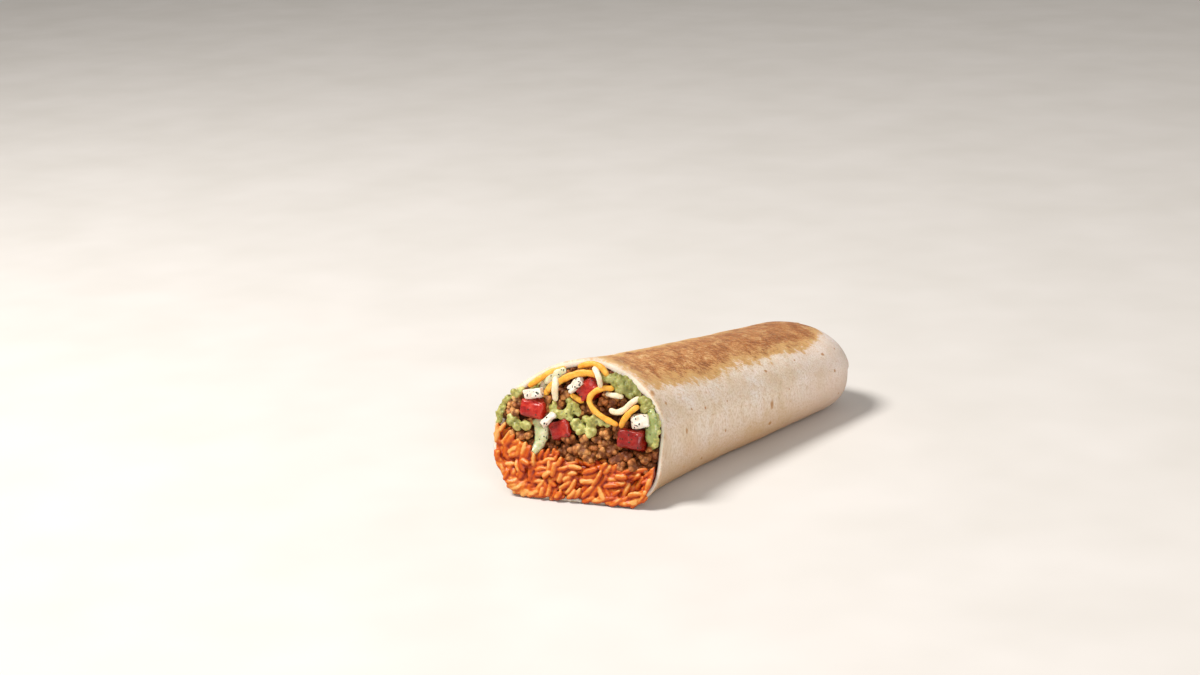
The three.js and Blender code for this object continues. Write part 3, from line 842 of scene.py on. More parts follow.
rice_core = core("rice", "rice_core", back_off=(2.2, 1.0), drawn_in=0.35)
beef_core = core("ground_beef", "ground_beef_core", back_off=(3.4, 3.4), drawn_in=0.35)
guacamole_core = core("guacamole", "guacamole_layer", back_off=(1.0, 1.0), drawn_in=0.3)
print("cores made")

# %% [markdown]
# ## Where the cut's surface is
# Loose pieces are laid on what lies behind them. A ray is sent straight at the cut from in
# front of it, and the first surface it meets says how far out that place is.

# %% Rays at the cut
FAR_OUT = 40
SLOPE = math.hypot(CUT_SKEW, 1, CUT_LEAN)
ON_THE_WALL = 0.02


def out_of_cut(points):
    """How far in front of the cut points lie, square to it, in millimetres."""
    local = from_foot(points)
    return (cut_y(local[:, 0], local[:, 2]) - local[:, 1]) / SLOPE


def tree_of(*objects, keep=lambda polygon: True):
    """A search tree of the surfaces of some objects."""
    corners, faces, start = [], [], 0
    for obj in objects:
        corners += [tuple(p) for p in points_of(obj)]
        faces += [[start + i for i in p.vertices] for p in obj.data.polygons if keep(p)]
        start = len(corners)
    return BVHTree.FromPolygons(corners, faces)


def height_on(tree, x, z, default=0.0):
    """How far out the surface is over a place on the cut, in millimetres."""
    hit = tree.ray_cast(on_cut(x, z, FAR_OUT), -OUTWARD)[0]
    return default if hit is None else (hit - on_cut(x, z)).dot(OUTWARD) / MM


solid_rice = tree_of(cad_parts["rice"])
layers = tree_of(*(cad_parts[n] for n in ("rice", "ground_beef", "guacamole")))
inner_wall = tree_of(tortilla, keep=lambda polygon: all(
    outside[polygon.vertices[i]] < ON_THE_WALL for i in (0, 2)))
print("rice stands out by", round(height_on(solid_rice, 0, 8), 1), "mm")

# %% [markdown]
# ## Places on the cut
# Pieces are modelled lying along X. `aimed` turns one on the slanting cut and sets it at its
# place. The other two helpers say whether a place lies inside the sheet's outline, and find
# a place beside the rim.

# %% Places on the cut
def aimed(x, z, out, turn, tilt=0.0, roll=0.0):
    """Places a piece made along X: turned on the cut, tipped outward, rolled on itself."""
    basis = Matrix((RIGHT, UPWARD, OUTWARD)).transposed().to_4x4()
    return (
        Matrix.Translation(on_cut(x, z, out)) @ basis
        @ Matrix.Rotation(math.radians(turn), 4, "Z")
        @ Matrix.Rotation(math.radians(-tilt), 4, "Y")
        @ Matrix.Rotation(math.radians(roll), 4, "X")
    )


def within_mouth(x, z, margin):
    """True where a place lies inside the tortilla's outline by a margin."""
    outline = np.stack(on_section(np.radians(np.arange(0, 360, 3)), cut_y(x, z), margin), -1)
    a, b = outline, np.roll(outline, -1, 0)  # the ends of each side of the outline
    crossing = (a[:, 1] > z) != (b[:, 1] > z)
    with np.errstate(divide="ignore", invalid="ignore"):
        reach = a[:, 0] + (z - a[:, 1]) / (b[:, 1] - a[:, 1]) * (b[:, 0] - a[:, 0])
    return np.count_nonzero(crossing & (x < reach)) % 2 == 1


def rim_place(degrees, inset):
    """A place on the cut near the rim, at an angle round the roll."""
    angle = math.radians(degrees)
    y = 0.0
    for _ in range(6):
        x, z = (float(v) for v in on_section(angle, y, inset))
        y = cut_y(x, z)
    return x, z


print("rim at the right:", [round(v, 1) for v in rim_place(0, 0)])

# %% [markdown]
# ## Clear of the sheet
# Soft pieces are laid close to the sheet, and some would pierce it. Each of their points asks
# for the nearest place of the sheet's inner wall, and is pushed back to its near side. In
# front of the cut there is no wall any more, so the push fades out there.

# %% Clear of the sheet
def pressed_in(obj, reach=9.0, gap=0.12):
    """Pushes points back that would pierce the sheet, up to a reach in front of the cut."""
    points = points_of(obj)
    out = out_of_cut(points)
    for index in np.flatnonzero(out < reach):
        place, normal, _, _ = inner_wall.find_nearest(points[index])
        short = gap * MM - (Vector(points[index]) - place).dot(normal)
        if short > 0:
            points[index] += np.array(normal) * short * float(eased(reach, reach - 1, out[index]))
    set_points(obj, points)


print("inner wall ready")

# %% [markdown]
# ## Rice
# The rice is long-grained, and stained orange-red by its sauce. A grain starts as a
# sphere with few faces, drawn out and blunted, then bent a little by a modifier. Four such
# grains, one straight, one curved, one short and one tapered, are copied again and again.

# %% Grain kinds
GRAIN_LONG, GRAIN_WIDE, GRAIN_THICK = 7.0, 2.4, 2.1
BLUNT, FULL, CLOSING = 0.75, 3.2, 0.385  # powers of the grain's outline along its length


def grain_kind(name, length, wide, thick, bend, narrowing):
    bpy.ops.object.select_all(action="DESELECT")
    bpy.ops.mesh.primitive_uv_sphere_add(segments=8, ring_count=8, radius=1)
    grain = bpy.context.object
    edit(grain)
    bpy.ops.transform.rotate(value=math.pi / 2, orient_axis="Y", center_override=(0, 0, 0))
    leave()
    points = points_of(grain)
    share = points[:, 0]
    blunt = bent(share, BLUNT)
    full = np.maximum(1 - np.abs(blunt) ** FULL, 0) ** CLOSING
    points[:, 1:] *= (full / np.maximum(np.sqrt(1 - share**2), 1e-6))[:, None]
    points[:, 0] = blunt
    points[:, 1] *= 1 - narrowing * np.clip(share, 0, 1)
    set_points(grain, points * np.array([length, wide, thick]) / 2 * MM)
    shaped(grain, "SIMPLE_DEFORM", deform_method="BEND", deform_axis="Z",
           angle=math.radians(bend))
    grain.name = name
    return smooth_shaded(grain)


grain_kinds = [
    grain_kind("grain_straight", GRAIN_LONG, GRAIN_WIDE, GRAIN_THICK, 12, 0.12),
    grain_kind("grain_curved", GRAIN_LONG * 1.05, GRAIN_WIDE * 0.95, GRAIN_THICK, 40, 0.15),
    grain_kind("grain_short", GRAIN_LONG * 0.8, GRAIN_WIDE * 1.05, GRAIN_THICK, 18, 0.0),
    grain_kind("grain_tapered", GRAIN_LONG, GRAIN_WIDE, GRAIN_THICK * 0.95, -26, 0.35),
]
print("grain faces:", len(grain_kinds[0].data.polygons))

# %% [markdown]
# ## The front grains
# The grains that show most are laid one by one, each with its place, turn and length, in the
# slanting bunches that a cut through packed rice leaves. Each lies on the solid behind it. At
# the foot they stand out more, and on the mushy side they are sunk, thinner and darker.

# %% Lay the front grains
def copied(kind, matrix):
    """A copy with its own mesh, placed by a matrix."""
    twin = kind.copy()
    twin.data = kind.data.copy()
    bpy.context.collection.objects.link(twin)
    twin.matrix_world = matrix
    return twin


FRONT_GRAINS = [  # x and z on the cut, turn in degrees, length in millimetres
    (-16.8, 3.8, 24, 5.8), (-12.4, 4.4, 55, 6.6), (-14.1, 1.4, 38, 5.0), (-8.2, 3.0, 79, 5.0),
    (-12.9, 10.3, 14, 5.0), (-16.6, 8.0, 74, 6.0), (-7.6, 10.4, 83, 5.6), (-10.2, 8.5, 43, 4.0),
    (-4.3, 10.9, 19, 4.8), (-0.2, 12.0, 2, 6.6), (-0.8, 9.6, 15, 4.2), (5.7, 11.2, 19, 6.6),
    (2.2, 14.8, -28, 6.0), (4.6, 13.5, -6, 5.0), (7.8, 14.5, 16, 4.6), (10.2, 13.2, 53, 4.2),
    (6.3, 4.0, 50, 7.4), (9.0, 8.6, 55, 7.0), (5.0, 7.4, 10, 5.6), (-2.7, 5.3, 35, 6.2),
    (-0.2, 4.7, 53, 7.0), (0.5, 2.1, 43, 5.0), (2.5, 2.7, 58, 5.0), (14.2, 6.9, 10, 6.6),
    (17.2, 7.6, 5, 5.0), (10.7, 4.2, -61, 6.4), (15.9, 3.5, 51, 6.6), (19.5, 5.3, 66, 6.8),
    (24.1, 8.6, 62, 6.2), (24.0, 4.7, 10, 6.2), (22.4, 1.8, 13, 5.8), (27.4, 4.3, 64, 4.6),
    (23.2, 12.8, 10, 6.4), (19.2, 12.1, 24, 5.0), (22.1, 10.4, 19, 4.8), (-12.6, 16.9, 61, 6.4),
    (-10.4, 13.7, 14, 5.2), (-16.4, 13.3, 85, 5.0), (-8.3, 14.9, 79, 5.2), (-28.7, 20.4, 53, 6.4),
    (-23.0, 20.3, -13, 6.2), (-25.0, 16.1, 33, 5.8), (-20.8, 15.9, 79, 6.0),
    (-29.2, 12.0, -42, 4.4), (-26.2, 10.6, 5, 5.6), (-22.2, 9.8, -63, 5.4), (-23.9, 7.7, 48, 4.6),
    (-19.2, 12.1, -23, 4.4), (-20.0, 7.8, 63, 4.8), (-21.8, 5.9, 15, 4.6), (-24.1, 4.5, 5, 5.2),
    (-21.6, 3.4, 10, 4.4), (-19.7, 5.1, -37, 4.4), (-30.3, 15.5, 85, 5.4), (-29.0, 17.6, -52, 4.4),
    (-13.6, 5.9, 5, 3.8), (-4.9, 7.9, 74, 4.4), (-6.0, 13.3, 63, 4.2), (28.3, 8.3, 74, 5.0),
    (26.6, 10.4, 43, 4.2), (17.5, 10.0, -4, 5.0), (-7.9, 5.6, -42, 4.4), (-2.3, 7.7, 24, 4.2),
    (-11.0, 1.7, 85, 4.4), (-4.5, 1.6, 53, 4.2), (11.8, 2.8, -53, 3.8), (-25.9, 6.7, 63, 4.4),
    (-30.8, 13.4, 74, 4.4), (-32.4, 20.4, 82, 5.4), (-31.0, 23.6, 55, 4.6),
    (-33.0, 23.0, 95, 4.6), (-27.6, 23.2, 20, 4.8),
]
RICE_LINE = [  # x and z along the top of the rice
    (-36, 25.5), (-31, 24), (-28, 22.5), (-24, 20), (-14, 16.5), (-6, 15.8), (1.4, 14.3),
    (9, 14.7), (16, 12.9), (24.6, 12.5), (34, 14.5),
]


def rice_top(x):
    return np.interp(x, *zip(*RICE_LINE))


LOWEST_ON_SOLID = 5  # below this the solid curves away, so heights are taken here
grains = []


def lay_grain(x, z, out, turn, length, tilt, shade, thin=1.0):
    kind = grain_kinds[draw.integers(len(grain_kinds))]
    stretch = length * MM / (kind.dimensions.x or 1)
    grain = copied(kind, aimed(x, z, out, turn, tilt, draw.uniform(-40, 40))
                   @ Matrix.Diagonal((stretch, thin, thin, 1)))
    mark(grain, "tint", shade)
    grains.append(grain)


FOOT_EDGE, PROUD, PROUDER = (4.5, 1.5), 0.1, 0.4  # grains stand out more at the foot
FRONT_SHADE, UNEVEN = 0.68, 0.2
UPPER, UPPER_SHADE = (7, 15), (-0.38, 0.3)  # added to loose and to mushy grains high up
MUSH_SUNK, MUSH_DARKER, MUSH_THINNER = 0.5, 0.26, 0.12
for x, z, turn, length in FRONT_GRAINS:
    ground = height_on(solid_rice, x, max(z, LOWEST_ON_SOLID), 2.2)
    out = ground + PROUD + PROUDER * eased(*FOOT_EDGE, z) - MUSH_SUNK * mushy(x)
    shade = FRONT_SHADE - MUSH_DARKER * mushy(x) + draw.uniform(-UNEVEN, UNEVEN)
    shade += between(*UPPER_SHADE, mushy(x)) * eased(*UPPER, z)
    lay_grain(x, z, out, turn + draw.uniform(-4, 4), length * 1.04,
              draw.uniform(0, 12), shade, 1 - MUSH_THINNER * mushy(x))
print("single grains:", len(grains))

# %% [markdown]
# ## Their neighbours
# Packed grains lie side by side. So each front grain offers a place on either side of it. Where
# that is free, in the rice and clear of the sheet, a grain is laid that runs the same way, a
# little deeper, and darker as painted shade.

# %% Lay their neighbours
BESIDE, ELBOW_ROOM, SHEET_ROOM = 2.0, 1.8, 2.2
# Neighbours get a lower shade than front grains: painted shade for lying deeper.
NEIGHBOUR_SHADE, NEIGHBOUR_SUNK = 0.5, 0.5
spots = [(x, z) for x, z, _, _ in FRONT_GRAINS]
for x, z, turn, length in FRONT_GRAINS:
    for side_step in (-BESIDE, BESIDE):
        beside_x = x - side_step * math.sin(math.radians(turn))
        beside_z = z + side_step * math.cos(math.radians(turn))
        free = all(math.hypot(beside_x - a, beside_z - b) > ELBOW_ROOM for a, b in spots)
        in_rice = beside_z < rice_top(beside_x)
        if free and in_rice and within_mouth(beside_x, beside_z, SHEET_ROOM):
            spots.append((beside_x, beside_z))
            ground = height_on(solid_rice, beside_x, max(beside_z, LOWEST_ON_SOLID), 2.0)
            shade = NEIGHBOUR_SHADE - 0.2 * mushy(x) + draw.uniform(-UNEVEN, UNEVEN)
            lay_grain(beside_x, beside_z, ground - NEIGHBOUR_SUNK,
                      turn + draw.uniform(-8, 8), length * 1.05, draw.uniform(-5, 12), shade)
print("front grains:", len(grains))

# %% [markdown]
# ## The grains behind
# Two looser sets fill the gaps, the second deeper than the first and painted darker, as shade.
# Places are drawn at random. One is kept when it is below the top of the rice, inside the sheet
# and clear of the set's other grains, and its grain lies roughly as the nearest front grain does.

# %% Fill in behind
def turn_near(x, z):
    """The turn of the front grain nearest to a place."""
    return min(FRONT_GRAINS, key=lambda grain: (grain[0] - x) ** 2 + (grain[1] - z) ** 2)[2]


RICE_WIDE, RICE_HIGH = (-37, 36), (1.4, 23)  # the box that places are drawn from
TRIES_A_GRAIN, BELOW_THE_TOP = 60, 0.3


def fill_grains(count, depth, margin, spread, shade, unruly):
    laid_so_far = []
    tries = 0
    while len(laid_so_far) < count and tries < count * TRIES_A_GRAIN:
        tries += 1
        x, z = draw.uniform(*RICE_WIDE), draw.uniform(*RICE_HIGH)
        if z > rice_top(x) - BELOW_THE_TOP or not within_mouth(x, z, margin):
            continue
        if any((x - a) ** 2 + (z - b) ** 2 < spread**2 for a, b in laid_so_far):
            continue
        laid_so_far.append((x, z))
        out = height_on(solid_rice, x, max(z, LOWEST_ON_SOLID), 1.8) - depth
        lay_grain(x, z, out, turn_near(x, z) + draw.uniform(-unruly, unruly),
                  draw.uniform(5.4, 7.4), draw.uniform(-20, 25),
                  shade + draw.uniform(-0.12, 0.12), draw.uniform(0.85, 1.0))


# The deeper set gets the darker shade: painted shade.
fill_grains(150, depth=1.3, margin=1.6, spread=2.2, shade=0.3, unruly=18)
fill_grains(150, depth=2.5, margin=1.9, spread=2.2, shade=0.1, unruly=60)
print("grains in all:", len(grains))

# %% [markdown]
# ## Grains along the rim
# Packed rice reaches right up to the sheet, so a row of grains follows the rim just inside it.
# Along the foot some more lie over the edge of the sheet, as if they had been pressed out.

# %% Rim grains
def joined(pieces, name):
    """Joins objects into one, with their places written into the mesh."""
    only(pieces[0])
    for piece in pieces:
        piece.select_set(True)
    bpy.ops.object.transform_apply(location=True, rotation=True, scale=True)
    bpy.ops.object.join()
    whole = bpy.context.object
    whole.name = whole.data.name = name
    return whole


RIM_ROW, FOOT_ROW = np.arange(186, 352, 4.2), np.arange(230, 314, 4.0)  # degrees round
UNDER_FOOT = 226, 316
for degrees in RIM_ROW:
    x, z = rim_place(degrees + draw.uniform(-1.5, 1.5), draw.uniform(1.5, 2.3))
    if z < rice_top(x):
        ahead_x, ahead_z = rim_place(degrees + 4, 2)
        along_rim = math.degrees(math.atan2(ahead_z - z, ahead_x - x))
        foot = UNDER_FOOT[0] < degrees < UNDER_FOOT[1]
        turn = draw.uniform(15, 60) if foot else along_rim + draw.uniform(-20, 20)
        lay_grain(x, max(z, 1.5), draw.uniform(0.4, 1.6), turn, draw.uniform(4.2, 6.0),
                  draw.uniform(-10, 15), draw.uniform(0.3, 0.6), 0.9)
grains, packed = [], grains
for degrees in FOOT_ROW:
    x, z = rim_place(degrees + draw.uniform(-1.5, 1.5), draw.uniform(0.4, 1.2))
    lay_grain(x, max(z, 1.1), draw.uniform(1.0, 1.7), draw.uniform(-10, 55),
              draw.uniform(4.6, 6.2), draw.uniform(0, 12), draw.uniform(0.4, 0.9))
spilled, grains = grains, packed
for kind in grain_kinds:
    bpy.data.objects.remove(kind)
rice_grains = joined(grains, "rice_grains")
pressed_in(rice_grains)
rice_grains = joined([rice_grains] + spilled, "rice_grains")
points = points_of(rice_grains)
points[:, 2] = np.maximum(points[:, 2], 0.05 * MM)  # just above the board
set_points(rice_grains, points)
print("rice grains:", len(rice_grains.data.polygons), "faces")

# %% [markdown]
# ## The sauce between the grains
# Sauce clings in the creases and binds the grains. All of them are melted into one skin by a
# fine voxel remesh, which keeps each grain's outline, and on the mushy side the skin is
# smoothed further. Each point looks up the tint of the grain it came from. It also keeps how
# deep it lies and how far it faces up and out towards the light, which the finish turns into
# painted shade and painted light.

# %% Let the sauce bind them
def averaged(obj, values, rounds):
    """Values at the vertices, evened out over their neighbours again and again."""
    edges = np.empty(len(obj.data.edges) * 2, np.int32)
    obj.data.edges.foreach_get("vertices", edges)
    a, b = edges.reshape(-1, 2).T
    values = np.asarray(values, float).reshape(len(obj.data.vertices), -1)
    count = np.maximum(np.bincount(np.r_[a, b], minlength=len(values)), 1)
    for _ in range(rounds):
        values = np.stack([
            (np.bincount(a, column[b], len(column)) + np.bincount(b, column[a], len(column)))
            / count for column in values.T
        ], -1)
    return values


def hollows(obj, rounds=3):
    """How far each vertex lies in a hollow (above 0) or on a crest (below 0)."""
    points = points_of(obj)
    depth = ((averaged(obj, points, rounds) - points) * normals_of(obj)).sum(1)
    return averaged(obj, depth, 2)[:, 0] / max(depth.std(), 1e-9)


loose = tree_of(rice_grains)
tint_of_face = marked(rice_grains, "tint")[[p.vertices[0] for p in rice_grains.data.polygons]]
SAUCE_VOXEL, SOAKED = 0.27, 0.75
rounded_over(rice_grains, SAUCE_VOXEL * MM, 0.5, 1)
points = points_of(rice_grains)
tints = [tint_of_face[loose.find_nearest(point)[2]] for point in points]
soaked = mushy(from_foot(points)[:, :1]) * SOAKED
set_points(rice_grains, between(points, averaged(rice_grains, points, 4), soaked))
roughened(rice_grains, size=1.1 * MM, depth=0.16 * MM)
mark(rice_grains, "tint", averaged(rice_grains, tints, 2)[:, 0])
mark(rice_grains, "hollow", hollows(rice_grains, 5))
# Painted light: each point stores how far it faces up and out towards the lamps, to be painted
# paler there.
lit_side = np.array((OUTWARD * 0.6 + Vector((-0.25, -0.1, 1.0))).normalized())
mark(rice_grains, "light_and_glaze", normals_of(rice_grains) @ lit_side)
print("bound rice:", len(rice_grains.data.polygons), "faces")

# %% [markdown]
# ## Rice finish
# The grains are painted pale orange where they face up and out towards the light, which is
# painted light, and red-orange below, where the sauce gathers and painted shade falls. Each
# grain also has its own strength of colour, and the deeper ones are redder and darker, as
# painted shade. Hollows get painted shade and crests painted light. The film of sauce gives a soft
# shine.

# %% Rice finish
rice_look = Finish("sauced_rice", Roughness=0.4, Subsurface_Weight=0.25,
                   Subsurface_Scale=0.002, Specular_IOR_Level=0.35)
own = rice_look.attribute("tint")
light_and_glaze = rice_look.attribute("light_and_glaze")
blotch = rice_look.noise(rice_look.here(), 2.6, 3)
# Painted light on the side facing the light, painted redder below.
light = rice_look.plus(rice_look.span(light_and_glaze, -0.3, 1.0, -0.34, 0.42, False), own)
light = rice_look.plus(light, rice_look.span(blotch, 0.3, 0.7, -0.16, 0.16, False))
pool = rice_look.noise(rice_look.here(), 8, 2)
light = rice_look.plus(light, rice_look.span(pool, 0.35, 0.65, -0.22, 0.02))
# Painted shade in the hollows, and painted light on the crests.
crease = rice_look.span(rice_look.attribute("hollow"), -1.2, 2.0, 0.14, -0.38)
light = rice_look.plus(light, crease)
rightward = rice_look.add("ShaderNodeSeparateXYZ", Vector=rice_look.here()).outputs[0]
light = rice_look.plus(light, rice_look.span(rightward, -0.012, 0.004, 0.03, -0.08))
stain = rice_look.ramp(light, (0.0, (132, 34, 2)), (0.24, (170, 59, 4)),
                       (0.5, (194, 84, 13)), (0.76, (204, 112, 32)), (1.0, (221, 160, 86)))
rice_finish = rice_look.finish(stain, rice_look.span(blotch, 0.3, 0.7, 0.32, 0.5),
                               rice_look.bump(rice_look.noise(rice_look.here(), 0.7), 0.12, 0.5))
print("rice finish:", len(rice_look.tree.nodes), "nodes")

# %% [markdown]
# ## Between the grains
# The core shows only in the gaps between the grains, where it is sauce red darkened by painted
# shade, and on the mushy side as the smear of rice and sauce itself. One noise drives two runs
# of colour, and a stored number picks between them.

# %% Rice core finish
mark(rice_core, "mush", mushy(from_foot(points_of(rice_core))[:, 0]))
core_look = Finish("sauced_rice_depth", Roughness=0.4)
deep = core_look.noise(core_look.here(), 3.0, 4)
# Sauce red with painted shade, for the gaps between the grains.
gap_shade = core_look.ramp(deep, (0.3, (130, 34, 8)), (0.55, (160, 54, 14)), (0.75, (196, 80, 24)))
smear = core_look.ramp(deep, (0.3, (176, 52, 14)), (0.55, (226, 88, 22)), (0.75, (244, 136, 48)))
core_finish = core_look.finish(core_look.mix(core_look.attribute("mush"), gap_shade, smear),
                               normal=core_look.bump(deep, 0.6, 0.8))
placed(rice_core, "rice_core", core_finish, "rice", "rice")
placed(rice_grains, "rice_grains", rice_finish, "rice", "rice")

# %% [markdown]
# ## Ground beef
# Cooked ground beef breaks into knobbly crumbles. Each crumble starts as a ball. A cloudy
# push makes its outline uneven, and a cell pattern covers it with knobs that meet in sharp
# creases. Each point keeps how far its knob stands out, so that the material can paint shade
# into the creases. Small rough balls lie deeper, and close the layer behind the crumbles.

# %% Beef crumbles
def knobbed(obj, size, depth, seed=0):
    """Covers the surface with round knobs of that size, with sharp creases between."""
    cells = bpy.data.textures.new("cells", "VORONOI")
    cells.noise_scale = size
    return pushed(obj, cells, -depth, seed, 0.4)


CLUMPS = [  # x, z and radius on the cut
    (-5.0, 21.5, 2.5), (-6.1, 17.3, 2.8), (-2.2, 18.2, 2.7), (-3.2, 14.6, 2.2), (1.2, 22.0, 2.3),
    (1.6, 18.0, 2.4), (5.0, 19.6, 2.8), (4.3, 15.8, 2.2), (8.3, 17.6, 2.0), (8.5, 24.5, 2.3),
    (11.9, 27.0, 2.6), (8.2, 21.3, 2.1), (11.2, 19.5, 2.2), (13.8, 21.4, 2.0), (13.4, 15.9, 2.7),
    (17.6, 17.6, 2.5), (16.5, 13.5, 2.3), (20.2, 14.6, 2.3), (21.2, 18.2, 2.0),
    (23.8, 16.9, 2.2), (25.1, 13.6, 1.9), (26.9, 18.7, 2.0), (28.0, 15.6, 1.8),
    (28.9, 18.4, 1.4), (28.6, 20.6, 1.3), (-30.4, 32.9, 1.9),
    (-28.2, 34.2, 1.8), (-29.5, 29.6, 2.0), (-27.2, 31.5, 1.7), (-31.4, 30.6, 1.5),
    (-27.2, 28.6, 1.6), (-23.4, 21.4, 2.1), (-26.4, 22.0, 1.7), (-20.6, 21.5, 1.6),
    (-15.3, 34.8, 1.9), (-14.3, 32.5, 1.7), (-15.3, 30.6, 1.5), (-10.0, 33.4, 1.4),
    (-9.0, 36.8, 1.6), (-7.0, 36.0, 1.4), (-1.6, 32.6, 2.2), (1.0, 33.2, 1.7),
    (-2.4, 30.6, 1.6), (2.6, 31.4, 1.4), (-4.3, 34.6, 1.5), (5.6, 35.8, 2.1), (8.2, 35.6, 2.0),
    (5.6, 38.2, 1.4), (10.8, 36.6, 1.7), (12.8, 36.0, 1.4), (8.9, 37.4, 1.4), (-8.2, 44.6, 1.7),
    (-6.0, 46.2, 1.6), (-10.3, 43.6, 1.5), (-1.6, 46.9, 1.5), (-4.2, 46.8, 1.5),
    (1.4, 46.4, 1.2), (8.9, 27.6, 1.7), (6.9, 25.6, 1.5), (5.9, 22.6, 1.8), (12.6, 24.2, 1.5),
    (25.0, 20.6, 1.4), (27.4, 22.2, 1.4), (-10.6, 20.6, 1.7), (-11.6, 18.4, 1.4),
    (15.6, 28.6, 1.4), (-17.6, 27.6, 1.3), (-20.9, 27.0, 1.4), (-1.6, 25.0, 1.5),
]
KNOB_SIZE, KNOB_DEPTH = 2.7 * MM, 2.0 * MM
PLUMP = 1.12
crumbles = []


def lay_beef(lump, x, z, out, ground, standing):
    """Places a lump with its facts: a tint, the layer's height there and its creases."""
    lump.matrix_world = aimed(x, z, out, draw.uniform(0, 360), draw.uniform(0, 360))
    left_lighter = 0.5 * eased(-20, -28, x) - 0.5 * eased(10, 20, x)  # lighter on the left, darker on the right
    mark(lump, "tint", draw.uniform(0, 1) + left_lighter)
    mark(lump, "ground", ground)
    mark(lump, "hollow", -standing)
    crumbles.append(lump)


for number, (x, z, radius) in enumerate(CLUMPS):
    bpy.ops.object.select_all(action="DESELECT")
    bpy.ops.mesh.primitive_ico_sphere_add(subdivisions=4, radius=radius * PLUMP * MM)
    lump = bpy.context.object
    edit(lump)
    bpy.ops.transform.resize(value=tuple(draw.uniform(0.85, 1.15, 3)))
    leave()
    roughened(lump, size=3.0 * MM, depth=1.5 * MM, seed=number * 0.01)
    before, facing = points_of(lump), normals_of(lump)
    knobbed(lump, KNOB_SIZE, KNOB_DEPTH, seed=number * 0.01)
    standing = ((points_of(lump) - before) * facing).sum(1) / MM
    roughened(lump, size=0.7 * MM, depth=0.25 * MM, seed=number * 0.01)
    ground = height_on(layers, x, z, 0.5)
    lay_beef(lump, x, z, ground - 0.3 * radius + draw.uniform(-0.7, 1.7), ground, standing)
print("crumbles:", len(crumbles))

# %% [markdown]
# ## Crumbs behind the crumbles
# One small rough ball is copied over the whole layer, each copy drawn out differently and
# sunk deeper than the crumbles. Then all of the beef is joined, kept clear of the sheet, and
# told how deep each of its points lies.

# %% Small crumbs behind
CRUMB_TRIES = 1100
BEEF_WIDE, BEEF_HIGH, BEEF_MARGIN = (-35, 34), (11, 50), 2.0
SINKS_OVER = 0.8, -1.4  # a point counts as deep from the first height down to the second
bpy.ops.object.select_all(action="DESELECT")
bpy.ops.mesh.primitive_ico_sphere_add(subdivisions=2, radius=1 * MM)
crumb = bpy.context.object
edit(crumb)
bpy.ops.transform.vertex_random(offset=0.2 * MM, seed=3, normal=0.5)
leave()
for _ in range(CRUMB_TRIES):
    x, z = draw.uniform(*BEEF_WIDE), draw.uniform(*BEEF_HIGH)
    if z > rice_top(x) - 1.0 and within_mouth(x, z, BEEF_MARGIN):
        ground = height_on(layers, x, z, 0)
        lump = copied(crumb, Matrix())
        lump.data.transform(Matrix.Diagonal((*draw.uniform(0.9, 1.6, 3), 1)))
        lay_beef(lump, x, z, ground - draw.uniform(1.5, 3.0), ground, 0.0)
bpy.data.objects.remove(crumb)
beef = joined(crumbles, "ground_beef_crumbles")
pressed_in(beef)
standing_out = out_of_cut(points_of(beef)) - marked(beef, "ground")
mark(beef, "sunk", eased(*SINKS_OVER, standing_out))
print("beef:", len(beef.data.polygons), "faces in", len(crumbles), "lumps")

# %% [markdown]
# ## Beef finish
# Browned beef goes from dark brown to tan, with pale specks of fat. The creases and the deep
# places are given painted shade from what each point stored, and fine bumps break up the shine.

# %% Beef finish
beef_look = Finish("ground_beef", Roughness=0.5, Subsurface_Weight=0.08,
                   Subsurface_Scale=0.002, Specular_IOR_Level=0.35)
meat = beef_look.noise(beef_look.here(), 1.0, 4, 0.6)
speck = beef_look.noise(beef_look.here(), 0.4, 2, 0.6)
shade = beef_look.plus(beef_look.times(beef_look.attribute("tint"), 0.45),
                       beef_look.span(meat, 0.25, 0.75, -0.1, 0.5, False))
shade = beef_look.plus(shade, beef_look.span(speck, 0.3, 0.7, -0.12, 0.24, False))
brown_meat = beef_look.ramp(shade, (0.05, (126, 64, 26)), (0.4, (177, 106, 52)),
                            (0.7, (208, 143, 78)), (0.95, (230, 180, 114)))
# Painted shade in the creases and in the deep places.
crease = beef_look.span(beef_look.attribute("hollow"), -0.3, 0.45, 0, 0.8)
depth = beef_look.times(beef_look.attribute("sunk"), 0.8)
shadow = beef_look.sums("MAXIMUM", crease, depth)
brown_meat = beef_look.mix(shadow, brown_meat, (94, 40, 12))
beef_finish = beef_look.finish(brown_meat, beef_look.span(meat, 0.3, 0.7, 0.4, 0.6),
                               beef_look.bump(speck, 0.3, 0.6))
placed(beef, "ground_beef_crumbles", beef_finish, "ground_beef", "ground_beef")

# %% [markdown]
# ## Between the crumbles
# The core behind the crumbles shows only in the gaps, so it is a plain brown, painted deeper as
# shade.

# %% Beef core finish
depth_look = Finish("ground_beef_depth", Roughness=0.5)
deep = depth_look.noise(depth_look.here(), 2.6, 4)
# A dark brown that stands for painted shade in the gaps.
depth_finish = depth_look.finish(
    depth_look.ramp(deep, (0.3, (72, 32, 12)), (0.6, (104, 56, 26)), (0.8, (132, 80, 44))),
    normal=depth_look.bump(deep, 0.6, 0.8),
)
placed(beef_core, "ground_beef_core", depth_finish, "ground_beef", "ground_beef")

# %% [markdown]
# ## Guacamole
# Mashed avocado holds the marks of the spoon: soft lobes run into each other, with creases
# between them. Each dollop starts as overlapping balls, the larger ones where the dollop
# is thickest, melted into one skin and then roughened twice.

